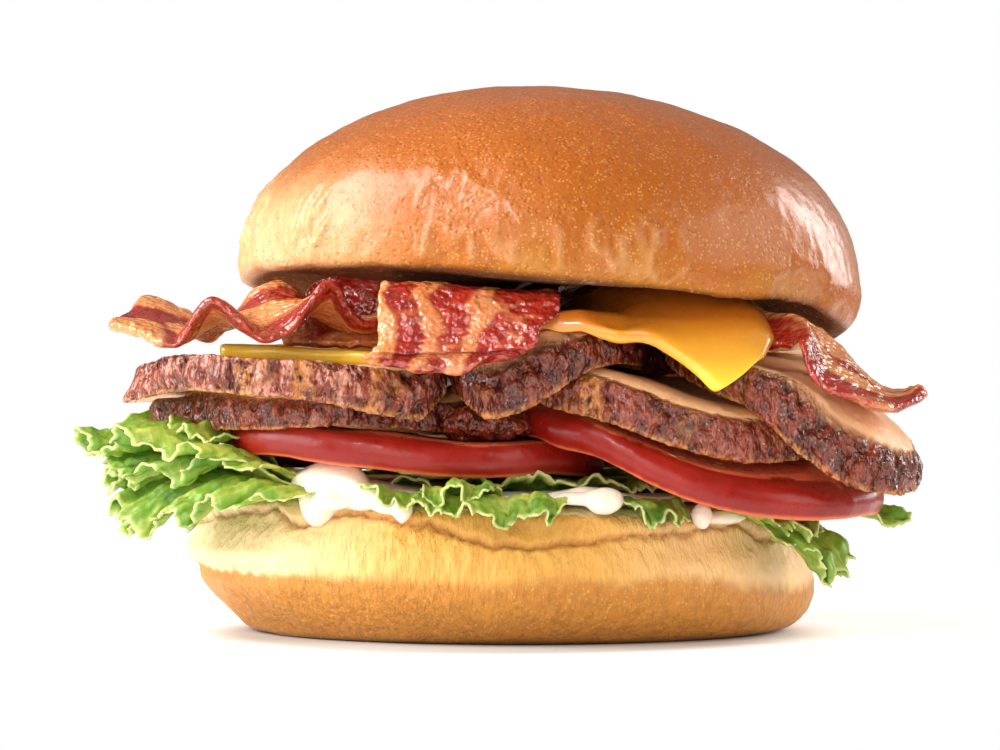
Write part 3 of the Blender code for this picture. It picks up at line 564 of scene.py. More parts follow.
def heel_material(look):
    material, tree, shader, place = new_material(
        "bun_bottom", look.side, Roughness=0.6, Specular_IOR_Level=0.35, Coat_Weight=0.2,
        Coat_Roughness=0.55)
    toast = mask(tree, "toast")
    side = mottled(tree, place, look.side, (0.76, 0.41, 0.095, 1.0),
                   (0.60, 0.28, 0.055, 1.0), (5.0, 0.9), (0.45, 0.25))
    upright = stretched(tree, place, (1.0, 1.0, 0.26))
    streak = grain(tree, upright, 0.8, 3.0)
    base = blend_colours(tree, spread(tree, streak, 0.53, 0.64, 0.0, 0.6),
                         side, (0.62, 0.29, 0.05, 1.0))
    # painted light: paler cream where the side softboxes light the bun
    base = blend_colours(tree, mask(tree, "pale"), base, (0.92, 0.70, 0.40, 1.0))
    band = mottled(tree, place, look.toast, darker(look.toast, 0.62),
                   (0.82, 0.50, 0.19, 1.0), (1.5, 0.5), (0.55, 0.45))
    base = blend_colours(tree, toast, base, band)
    # painted shade: dark brown in the seam's groove
    base = blend_colours(tree, mask(tree, "seam"), base, (0.42, 0.15, 0.03, 1.0))
    crumb = mottled(tree, place, look.crumb, darker(look.crumb, 0.75),
                    darker(look.crumb, 0.5), (4.0, 1.0), (0.5, 0.4))
    base = blend_colours(tree, mask(tree, "crumb"), base, crumb)
    base = blend_colours(tree, mask(tree, "base"), base, darker(look.toast, 0.62))
    normal = raised(tree, grain(tree, place, 0.4, 3.0, 0.6), 0.06)
    normal = raised(tree, streak, 0.60, below=normal)
    rough = spread(tree, grain(tree, place, 5.0, 3.0), 0.3, 0.7, 0.48, 0.66)
    finish_with(tree, shader, base, rough, normal)
    return material


class SANDWICH_OT_buns(bpy.types.Operator):
    """Dress both buns with their crust, wrinkles, seams and cut crumb"""
    bl_idname = "sandwich.buns"
    bl_label = "Buns"

    def crown(self, look):
        data = finer(solid_copy("bun_top"), 2, look.voxel, rounds=4)
        co, normals = read_surface(data)
        right, deep, up = crown_axes()
        local = co - CROWN_CENTRE
        height = local @ up
        across, back = local @ right, local @ deep
        radius = np.hypot(across, back)
        angle = np.degrees(np.arctan2(back, across))
        facing = normals @ up
        crumb = blend_step(-0.55, -0.8, facing) * blend_step(0.99, 0.93, radius / CROWN_RADIUS)
        crust = 1.0 - crumb
        wall = blend_step(0.5, 3.0, height) * blend_step(24.0, 11.0, height)
        relief = 0.55 * lumps(co, 21.0, 3) + 0.30 * lumps(co, 9.0, 4)
        patch = blend_step(-0.05, 0.35, lumps(co, 19.0, 8)) * wall
        patch *= 1.0 - 0.8 * blend_step(26.0, 40.0, across)
        folds = ridges(co, 4.8, 5, (1.0, 1.0, 0.5)) ** 1.6 * patch
        creases = ridges(co, 2.2, 6, (1.0, 1.0, 0.42)) ** 1.4 * patch
        crest = folds * 0.65 + creases * 0.35
        relief += look.wrinkle / MM * (1.9 * folds + 1.1 * creases)
        relief += 0.10 * lumps(co, 2.0, 9) * crust
        low = blend_step(7.0, 1.0, height) * blend_step(-3.0, 0.5, height)
        relief += 0.45 * low * lumps(co, 4.0, 11) * crust
        torn = np.zeros(len(co))
        for at, level, size in CROWN_TEARS:
            away = np.hypot(np.radians(angle - at) * CROWN_RADIUS, height - level)
            ragged = away + 2.4 * lumps(co, 2.6, 12)
            torn = np.maximum(torn, blend_step(size, size * 0.72, ragged))
        torn *= crust
        relief -= 0.9 * torn - 0.35 * torn * lumps(co, 1.4, 13)
        write_places(data, co + normals * relief[:, None])
        # painted light: the crust is made paler low on the left, where the left softbox lights the
        # bun
        pale = 0.8 * blend_step(-14.0, -54.0, across) * blend_step(30.0, 8.0, height)
        write_masks(data, height=height / CROWN_HEIGHT, pale=pale,
                    crest=np.clip(crest - 0.25, 0.0, 1.0) * 1.6 + torn * 0.6, crumb=crumb)
        dress("crown_bun", data, crown_material(look), ["bun_top"])

    def heel(self, look):
        data = finer(solid_copy("bun_bottom"), 2, look.voxel, rounds=3)
        co, normals = read_surface(data)
        angle = np.degrees(np.arctan2(co[:, 0], -co[:, 1]))
        z = co[:, 2]
        flat = blend_step(0.25, 0.6, z)
        top = blend_step(0.75, 0.9, normals[:, 2]) * blend_step(19.5, 21.5, z)
        side = flat * (1.0 - top)
        around = np.column_stack((co[:, 0], co[:, 1], np.zeros(len(co))))
        seam = along(HEEL_SEAM, angle) + 0.9 * lumps(around, 3.0, 21)
        seam += 0.4 * lumps(around, 1.1, 27)
        groove = np.exp(-((z - seam) / 0.45) ** 2) * side
        lip = np.exp(-((z - seam - 1.5) / 1.1) ** 2) * side
        wall = blend_step(10.0, 13.0, z) * side
        upright = (1.0, 1.0, 0.28)
        relief = 0.45 * lumps(co, 15.0, 2) + 0.24 * lumps(co, 6.0, 7)
        relief *= side
        left = blend_step(-34.0, -50.0, co[:, 0]) * side
        relief += left * (0.9 * np.exp(-((z - 14.6) / 1.8) ** 2)
                          - 0.9 * np.exp(-((z - 11.6) / 1.3) ** 2))
        relief += wall * look.wrinkle / MM * (1.0 * lumps(co, 2.3, 22, upright)
                                              + 0.9 * ridges(co, 2.1, 23, upright) - 0.4)
        relief += 0.14 * lumps(co, 1.5, 24) * (side + top)
        relief += 0.35 * lip - groove
        relief *= blend_step(0.05, 1.5, z)
        moved = co + normals * relief[:, None]
        moved[:, 2] = np.maximum(moved[:, 2], 0.0)
        write_places(data, moved)
        line = HEEL_TOAST_LINE + 1.3 * lumps(co, 12.0, 25) + 0.8 * lumps(co, 2.5, 26)
        line -= 3.2 * blend_step(20.0, 58.0, co[:, 0])
        soft = 0.5 + 1.0 * blend_step(-44.0, -25.0, co[:, 0])
        # painted light: the side is made paler on the left and, less, on the right, where the side
        # softboxes light it
        pale = (0.9 * blend_step(-14.0, -48.0, co[:, 0])
                + 0.45 * blend_step(12.0, 38.0, co[:, 0]))
        # the seam's groove is painted dark brown: painted shade in the groove
        write_masks(data, toast=blend_step(line + soft, line - soft, z), seam=groove * 0.75,
                    pale=pale, crumb=top, base=blend_step(1.4, 0.2, z))
        dress("heel_bun", data, heel_material(look), ["bun_bottom"])

    def execute(self, context):
        look = context.scene.sandwich_bun
        self.crown(look)
        self.heel(look)
        return {"FINISHED"}


# Turkey

TURKEY = ("turkey_lower_left", "turkey_lower_right", "turkey_upper_left",
          "turkey_upper_middle", "turkey_upper_right")


# how much golden skin breaks through each slice's crust
GOLDEN_PATCHES = {"turkey_lower_left": 0.0, "turkey_lower_right": 0.3,
                  "turkey_upper_left": 0.3, "turkey_upper_middle": 0.2,
                  "turkey_upper_right": 0.2}
# where golden skin shows for certain at the front: X and half width
SPOTS = {"turkey_upper_left": ((-44.0, 1.9), (-34.0, 2.3), (-21.5, 1.7)),
         "turkey_lower_right": ((15.3, 2.3),)}
# how much painted light each slice's crust gets: lighter where the lamps light the slice, darker on
# the upper middle slice in shade
LIT_CRAGS = {"turkey_lower_left": 0.10, "turkey_lower_right": 0.55, "turkey_upper_left": 0.65,
             "turkey_upper_middle": -0.30, "turkey_upper_right": -0.02}
# how much painted sheen each slice's crust has: paler pink that stands for glints, most on the
# upper left slice, which the left light falls on
PAINTED_SHEEN = {"turkey_lower_left": 0.15, "turkey_lower_right": 0.15, "turkey_upper_left": 0.90,
         "turkey_upper_middle": 0.0, "turkey_upper_right": 0.0}
# loose bits of crust put in the gaps between the slices and kept dark, as painted shade: middle and
# half sizes
SHADE_SCRAPS = (((-3.0, -40.0, 38.0), (8.5, 7.0, 3.2)), ((27.0, -13.0, 48.9), (8.5, 6.0, 2.9)))


def turkey_material(look):
    material, tree, shader, place = new_material(
        "turkey", look.meat, Roughness=0.5, Specular_IOR_Level=0.6, Subsurface_Weight=0.12,
        Subsurface_Scale=0.004, Subsurface_Radius=(1.0, 0.5, 0.3))
    crust = mask(tree, "crust")
    fibres = stretched(tree, place, (1.0, 0.16, 1.0))
    meat = mottled(tree, fibres, look.meat, look.deep, (0.95, 0.74, 0.54, 1.0),
                   (5.5, 1.0), (0.32, 0.35))
    upright = stretched(tree, place, (1.0, 1.0, 0.55))
    # the crust's pale specks are painted glints
    rind = mottled(tree, upright, look.crust, look.lit, look.glint_fleck,
                   (1.9, 0.7), (0.85, 0.3))
    # painted light and shade: lighter on raised crags, darker in the grooves
    crag_light_and_shade = mask(tree, "crag")
    rind_colour = blend_colours(tree, maths(tree, "MULTIPLY", crag_light_and_shade, 0.7),
                                rind, look.lit)
    # painted sheen: paler pink streaks for glints on the crust
    bloom = maths(tree, "MULTIPLY", mask(tree, "bloom"), spread(
        tree, grain(tree, upright, 1.3, 3.0, 0.6, 0.6), 0.47, 0.60), clamp=True)
    rind_colour = blend_colours(tree, bloom, rind_colour, look.bloom)
    gold = maths(tree, "MULTIPLY", mask(tree, "golden"),
                 spread(tree, grain(tree, place, 1.6, 3.0), 0.36, 0.58), clamp=True)
    rind_colour = blend_colours(tree, gold, rind_colour, look.golden)
    base = blend_colours(tree, crust, meat, rind_colour)
    fine = grain(tree, upright, 0.65, 1.0, 0.5)
    scales = cells(tree, upright, 1.5)
    rough_skin = grain(tree, upright, 1.6, 1.5, 0.5)
    height = maths(tree, "ADD", maths(tree, "MULTIPLY", fine, 0.40), rough_skin)
    height = maths(tree, "ADD", height, maths(tree, "MULTIPLY", scales, 0.35))
    height = maths(tree, "MULTIPLY", height, maths(tree, "ADD", maths(
        tree, "MULTIPLY", crust, 0.92), 0.08))
    normal = raised(tree, height, 1.5)
    normal = raised(tree, grain(tree, fibres, 1.1, 3.0), 0.10, below=normal)
    wet = spread(tree, grain(tree, place, 2.2, 2.0), 0.35, 0.62, 0.10, 0.24)
    dry = spread(tree, grain(tree, place, 3.0, 2.0), 0.3, 0.7, 0.42, 0.58)
    rough = add_node(tree, "Mix", {0: crust, 2: dry, 3: wet}).outputs[0]
    finish_with(tree, shader, base, rough, normal)
    return material


class SANDWICH_OT_turkey(bpy.types.Operator):
    """Dress the carved turkey slices with a craggy fried crust and a pale face"""
    bl_idname = "sandwich.turkey"
    bl_label = "Turkey"

    def carve(self, look, material, node, seed):
        data = finer(solid_copy(node), 2, look.voxel, math.radians(45.0), 0.75, rounds=2)
        co, normals = read_surface(data)
        rim = Rim(co)
        edge = blend_step(0.925, 0.965, rim.share)
        grooved = np.column_stack((rim.away[:, 0], rim.away[:, 1], rim.level * 6.0))
        upright = (1.0, 1.0, 0.30)
        grooves = ridges(grooved, 4.6, seed, upright)
        cuts = ridges(grooved, 2.4, seed + 3, upright)
        crags = lumps(co, 2.9, seed + 5)
        specks = lumps(co, 1.25, seed + 7)
        up = normals[(rim.share < 0.8) & (normals[:, 2] > 0.3)].mean(0)
        facing = np.abs(normals @ (up / np.linalg.norm(up)))
        wall = blend_step(0.92, 0.45, facing)
        rough = 0.62 * crags + 0.34 * specks - 0.75 * grooves ** 2 - 0.42 * cuts ** 2 + 0.12
        relief = edge * (0.2 + 0.8 * wall) * (look.crag / MM) * rough
        face = (1.0 - edge) * (0.22 * lumps(co, 7.0, seed + 9)
                               + 0.07 * lumps(co, 1.6, seed + 11))
        direction = normals * 0.65 + rim.outward * 0.35
        moved = co + direction * relief[:, None] + normals * face[:, None]
        if node == "turkey_upper_left":
            # its left end slants in towards the top
            moved[:, 0] += 3.0 * blend_step(-58.0, -68.0, co[:, 0]) * rim.level
            # its face lies a little under the crust round it
            moved[:, 2] += (0.5 * edge - 1.4 * (1.0 - edge)) * blend_step(0.5, 0.9, rim.level)
        write_places(data, moved)
        line = 0.958 + 0.012 * lumps(co, 3.0, seed + 13) + 0.010 * lumps(co, 1.1, seed + 14)
        crust = np.maximum(blend_step(line, line + 0.014, rim.share),
                           edge * blend_step(0.80, 0.70, facing))
        ends = blend_step(0.13, 0.02, rim.level) + 0.7 * blend_step(0.88, 0.99, rim.level)
        patches = blend_step(0.26, 0.50, lumps(co, 8.0, seed + 15)) * GOLDEN_PATCHES[node]
        for at, half in SPOTS.get(node, ()):
            ragged = np.abs(co[:, 0] - at + 0.8 * lumps(co, 2.5, seed + 17))
            patches = np.maximum(patches, 0.75 * blend_step(half, half * 0.5, ragged)
                                 * blend_step(-20.0, -30.0, co[:, 1]))
        # the crag mask is painted light and shade: lighter on raised crags and on the slices the
        # lamps light, darker in the grooves
        write_masks(
            data, crust=crust,
            crag=LIT_CRAGS[node] + 0.9 * crags + 0.5 * specks - 1.1 * grooves ** 2,
            # painted sheen: paler pink for glints, mostly on the upper left slice
            bloom=PAINTED_SHEEN[node] * (0.8 + 0.8 * crags - 1.2 * grooves ** 2),
            golden=crust * np.clip(ends * 0.8 + patches, 0.0, 1.0))
        dress("carved_" + node, data, material, [node])

    def shade_scraps(self, look, material):
        mesh = bmesh.new()
        for middle, half in SHADE_SCRAPS:
            made = bmesh.ops.create_icosphere(mesh, subdivisions=5, radius=1.0)
            bmesh.ops.scale(mesh, verts=made["verts"], vec=Vector(half) * MM)
            bmesh.ops.translate(mesh, verts=made["verts"], vec=Vector(middle) * MM)
        data = as_data(mesh, "turkey_shade_scraps")
        co, normals = read_surface(data)
        crags = lumps(co, 2.9, 58)
        relief = look.crag / MM * (0.9 * crags + 0.5 * lumps(co, 1.4, 59))
        write_places(data, co + normals * relief[:, None])
        # painted shade: the bits' crust is kept dark
        write_masks(data, crust=np.ones(len(co)), crag=0.5 * crags - 0.1)
        dress("turkey_shade_scraps", data, material)

    def execute(self, context):
        look = context.scene.sandwich_turkey
        material = turkey_material(look)
        for seed, node in enumerate(TURKEY, 40):
            self.carve(look, material, node, seed)
        self.shade_scraps(look, material)
        return {"FINISHED"}



# Tomato

TOMATOES = ("tomato_left", "tomato_back", "tomato_right")


def tomato_material(look):
    material, tree, shader, place = new_material(
        "tomato", look.skin, Roughness=0.22, Coat_Roughness=0.06, Coat_Weight=0.05,
        Specular_IOR_Level=0.35, Subsurface_Weight=0.1, Subsurface_Scale=0.003)
    skin = mottled(tree, place, look.skin, (0.33, 0.013, 0.006, 1.0),
                   (0.45, 0.035, 0.012, 1.0), (9.0, 0.9), (0.6, 0.12))
    skin_colour = blend_colours(tree, mask(tree, "cut"), skin,
                                (0.86, 0.22, 0.07, 1.0))
    pocket = cells(tree, place, 9.0)
    flesh = mottled(tree, place, look.flesh, darker(look.flesh, 0.75),
                    (0.85, 0.35, 0.2, 1.0), (4.0, 0.8), (0.5, 0.4))
    gel = spread(tree, pocket, 0.28, 0.46, 1.0, 0.0)
    inner = blend_colours(tree, gel, flesh, (0.60, 0.11, 0.025, 1.0))
    seeds = maths(tree, "MULTIPLY", gel, spread(tree, cells(tree, stretched(
        tree, place, (1.0, 1.5, 1.0)), 2.6), 0.24, 0.34, 1.0, 0.0))
    inner = blend_colours(tree, seeds, inner, look.seed)
    base = blend_colours(tree, mask(tree, "skin"), inner, skin_colour)
    bumps = maths(tree, "ADD", maths(tree, "MULTIPLY", seeds, 0.7), grain(tree, place, 1.2))
    wide = maths(tree, "SUBTRACT", 1.0, maths(tree, "MULTIPLY", mask(tree, "skin"), 0.93))
    normal = raised(tree, maths(tree, "MULTIPLY", bumps, wide), 0.35)
    normal = raised(tree, grain(tree, place, 4.0, 2.0), 0.25, below=normal)
    rough = spread(tree, grain(tree, place, 5.0, 3.0), 0.3, 0.7, 0.24, 0.42)
    finish_with(tree, shader, base, rough, normal)
    return material


class SANDWICH_OT_tomato(bpy.types.Operator):
    """Dress the tomato slices with wet skin round cut flesh and seeds"""
    bl_idname = "sandwich.tomato"
    bl_label = "Tomato"

    def execute(self, context):
        material = tomato_material(context.scene.sandwich_filling)
        for seed, node in enumerate(TOMATOES, 60):
            data = finer(solid_copy(node), 3, crease_angle=math.radians(50.0), crease=0.55)
            co, normals = read_surface(data)
            rim = Rim(co)
            relief = 0.22 * lumps(co, 11.0, seed) + 0.08 * lumps(co, 3.2, seed + 1)
            write_places(data, co + normals * relief[:, None])
            ends = blend_step(0.12, 0.02, rim.level) + blend_step(0.93, 1.0, rim.level)
            write_masks(data, skin=blend_step(0.955, 0.975, rim.share), cut=0.6 * ends)
            dress("cut_" + node, data, material, [node])
        return {"FINISHED"}


# Cheese

CHEESE_THICKNESS = 2.6


class SANDWICH_OT_cheese(bpy.types.Operator):
    """Dress the cheese slice, soft from the heat and draped over the turkey"""
    bl_idname = "sandwich.cheese"
    bl_label = "Cheese"

    def execute(self, context):
        look = context.scene.sandwich_filling
        material, tree, shader, place = new_material(
            "cheese", look.cheese, Roughness=0.3, Coat_Weight=0.6, Coat_Roughness=0.08,
            Specular_IOR_Level=0.5, Subsurface_Weight=0.35, Subsurface_Scale=0.005,
            Subsurface_Radius=(1.0, 0.6, 0.15))
        melt = mottled(tree, place, look.cheese, darker(look.cheese, 0.88),
                       (1.0, 0.52, 0.06, 1.0), (14.0, 1.2), (0.5, 0.15))
        normal = raised(tree, grain(tree, place, 0.7, 2.0), 0.02)
        normal = raised(tree, grain(tree, place, 6.0, 2.0), 0.25, below=normal)
        rough = spread(tree, grain(tree, place, 7.0, 3.0), 0.3, 0.7, 0.22, 0.36)
        # painted shade and light: darker orange high up under the top bun, brighter yellow low on
        # the right and on the front of the left edge
        base = blend_colours(tree, mask(tree, "deep"), melt,
                             (0.50, 0.115, 0.008, 1.0))
        base = blend_colours(tree, mask(tree, "bright"), base, (1.0, 0.70, 0.055, 1.0))
        finish_with(tree, shader, base, rough, normal)
        data = finer(solid_copy("cheese"), 3, crease_angle=math.radians(50.0), crease=0.35)
        co, normals = read_surface(data)
        # the right corner spreads over the slice under it, and the left side hangs down to it
        spreading = (blend_step(24.0, 38.0, co[:, 0]) * blend_step(42.5, 50.5, co[:, 2])
                     * blend_step(-12.0, -34.0, co[:, 1]))
        co[:, 0] += 6.5 * spreading
        co[:, 2] -= 1.5 * spreading
        # between them its front edge is drawn forwards and down over the middle slice
        laid = (blend_step(0.0, 7.0, co[:, 0]) * blend_step(27.0, 19.0, co[:, 0])
                * blend_step(-28.0, -44.0, co[:, 1]))
        co[:, 1] -= 5.5 * laid
        co[:, 2] -= 2.0 * laid
        front = blend_step(10.0, -20.0, co[:, 1])
        co = sunk(data, co, normals, TURKEY, CHEESE_THICKNESS, 4.5,
                  np.maximum(front * blend_step(14.0, 0.0, co[:, 0]), laid))
        co[:, 2] -= 1.6 * front * blend_step(-8.0, -22.0, co[:, 0])
        relief = 0.15 * lumps(co, 9.0, 71) + 0.05 * lumps(co, 3.0, 72)
        write_places(data, co + normals * relief[:, None])
        right = blend_step(0.0, 8.0, co[:, 0])
        # painted shade high up on the right, under the bun; painted light low on the right and on
        # the front-facing left edge
        write_masks(data, deep=0.9 * right * blend_step(50.5, 57.5, co[:, 2]),
                    bright=(0.9 * right * blend_step(51.0, 44.0, co[:, 2])
                            + (1.0 - right) * blend_step(-0.1, -0.5, normals[:, 1])))
        dress("cheese_slice", data, material, ["cheese"])
        return {"FINISHED"}


# Bacon

STRIPS = {
    "bacon_left": dict(
        front=((-68.7, -40, 54.0), (-62.0, -44, 53.3), (-56.2, -46, 51.4), (-50.1, -48, 60.4),
               (-41.3, -48, 52.0), (-34.7, -47, 55.4), (-29.6, -45, 63.4), (-26.0, -41, 57.0),
               (-20.5, -38, 51.0)),
        back=((-63.2, -17, 59.6), (-58.5, -19, 58.4), (-54.0, -21, 55.5), (-49.5, -22, 50.0),
              (-44.0, -20, 61.0), (-37.0, -20, 61.4), (-30.5, -20, 50.0), (-26.0, -17, 50.0),
              (-20.5, -16, 50.0)),
        lean=((0.0, 1.0), (0.15, 1.0), (0.26, 0.0), (0.50, 0.0), (0.60, 0.9), (0.80, 1.0),
              (0.88, 0.1), (1.0, 0.0)),
        tip=((0.0, -0.3), (0.18, -0.2), (0.30, 1.0), (0.62, 1.0), (0.74, -0.2), (1.0, -0.3)),
        tip_end=0.17, rind=0.95, seed=31),
    "bacon_middle": dict(
        front=((-24.5, -58.5, 47.0), (-21.4, -54.0, 51.8), (-21.6, -52.0, 58.0),
               (-21.0, -46.0, 62.2), (-20.0, -30.0, 58.5), (-19.0, -5.0, 57.0),
               (-17.0, 22.0, 55.0), (-15.0, 43.0, 54.5)),
        back=((6.5, -55.5, 48.6), (7.8, -53.5, 51.0), (9.8, -51.0, 56.0), (10.6, -46.0, 59.4),
              (10.0, -30.0, 59.0), (11.0, -5.0, 57.5), (12.0, 22.0, 55.0),
              (14.0, 43.0, 54.5)),
        lean=((0.0, 0.0), (0.07, 0.05), (0.11, 1.0), (0.22, 0.8), (0.27, 0.2), (0.31, 0.3),
              (0.36, 1.0), (0.48, 0.9), (0.53, 0.25), (0.58, 0.25), (0.63, 1.0), (1.0, 1.0)),
        least=0.30,
        seed=32),
    "bacon_right": dict(
        front=((38.0, -30.0, 54.0), (44.0, -38.0, 55.6), (50.3, -44.0, 57.0),
               (52.0, -50.0, 50.5), (53.6, -52.0, 45.0), (59.5, -52.0, 42.4),
               (66.0, -50.0, 40.8), (70.5, -46.0, 41.6), (73.2, -42.0, 43.2)),
        back=((42.0, -6.0, 52.5), (47.0, -13.0, 53.5), (52.5, -20.0, 54.3),
              (56.0, -25.0, 53.4), (59.0, -28.0, 51.0), (62.5, -28.5, 47.0),
              (66.5, -29.5, 43.6), (71.0, -33.0, 43.4), (73.4, -37.5, 44.0)),
        lean=((0.0, 1.0), (0.22, 1.0), (0.30, -0.1), (0.42, 0.1), (0.50, 0.8), (0.58, 0.8),
              (0.66, -0.1), (1.0, -0.3)), seed=33),
}
STRIP_SAMPLES = (130, 14)
STRIP_WIDTH = 24.0
# the left strip's last fold, which stands up under the top bun: places along its foot and top
FOLD_FOOT = ((-39.0, -22.0, 52.6), (-31.0, -28.0, 52.0), (-23.0, -30.0, 52.0), (-13.0, -28.0, 53.4))
FOLD_TOP = ((-34.0, -20.0, 62.0), (-29.5, -25.0, 63.6), (-22.0, -27.0, 63.4), (-13.0, -25.0, 62.6))
FOLD_SAMPLES = (100, 60)
FOLD_BULGE = 3.0
FOLD_THICKNESS = 1.6 * MM
# how far the middle strip's lower hem hangs down, across it
FLAP_HEM = ((0.0, 3.2), (0.22, 0.6), (0.42, -0.8), (0.58, -0.4), (0.75, 1.4), (1.0, 1.2))


def strip_shares(co, front, back):
    """Each point's shares along and across the strip between its two edges."""
    columns, rows = STRIP_SAMPLES

    def edge_at(stations, u):
        last = len(stations) - 1
        return np.column_stack([along([(i / last, s[axis]) for i, s in enumerate(stations)], u)
                                for axis in range(3)])

    ends = np.linspace(0.0, 1.0, columns + 1)
    across = np.linspace(0.0, 1.0, rows + 1)[None, :, None]
    grid = (edge_at(front, ends)[:, None, :] * (1.0 - across)
            + edge_at(back, ends)[:, None, :] * across)
    tree = KDTree((columns + 1) * (rows + 1))
    for index, place in enumerate(grid.reshape(-1, 3)):
        tree.insert(place, index)
    tree.balance()
    found = np.array([tree.find(place)[1] for place in co.tolist()])
    u, v = found // (rows + 1) / columns, found % (rows + 1) / rows
    # the nearest crossing is only a start, from which the nearest place is closed in on
    nudge = 0.25 / columns
    for _ in range(5):
        inside = np.clip(u, nudge, 1.0 - nudge)
        first, second = edge_at(front, u), edge_at(back, u)
        sideways = second - first
        ahead = sum((edge_at(stations, inside + nudge) - edge_at(stations, inside - nudge))
                    * share[:, None] for stations, share in ((front, 1.0 - v), (back, v)))
        ahead /= 2.0 * nudge
        miss = co - first - sideways * v[:, None]
        a, b, c = ((ahead * ahead).sum(1), (ahead * sideways).sum(1), (sideways ** 2).sum(1))
        d, e = (ahead * miss).sum(1), (sideways * miss).sum(1)
        whole = np.maximum(a * c - b * b, 1e-6)
        u = np.clip(u + np.clip((d * c - e * b) / whole, -0.01, 0.01), 0.0, 1.0)
        v = np.clip(v + np.clip((a * e - b * d) / whole, -0.06, 0.06), 0.0, 1.0)
    return u, v


def bacon_material(look):
    material, tree, shader, place = new_material(
        "bacon", look.lean, Roughness=0.25, Specular_IOR_Level=1.0, Subsurface_Weight=0.1,
        Subsurface_Scale=0.002)
    lean = mottled(tree, place, look.lean, look.dark, (0.62, 0.10, 0.05, 1.0),
                   (4.0, 0.8), (0.6, 0.35))
    fat = mottled(tree, place, look.fat, look.amber, (0.92, 0.58, 0.34, 1.0),
                  (3.6, 0.8), (0.85, 0.45))
    base = blend_colours(tree, mask(tree, "lean"), fat,
                         lean)
    base = blend_colours(tree, mask(tree, "burnt"), base, look.amber)
    blisters = grain(tree, place, 1.6, 1.0, 0.45)
    normal = raised(tree, grain(tree, place, 0.7, 1.0, 0.5), 0.16)
    normal = raised(tree, blisters, 1.15, below=normal)
    rough = spread(tree, grain(tree, place, 2.4, 2.0), 0.3, 0.7, 0.10, 0.24)
    finish_with(tree, shader, base, rough, normal)
    return material


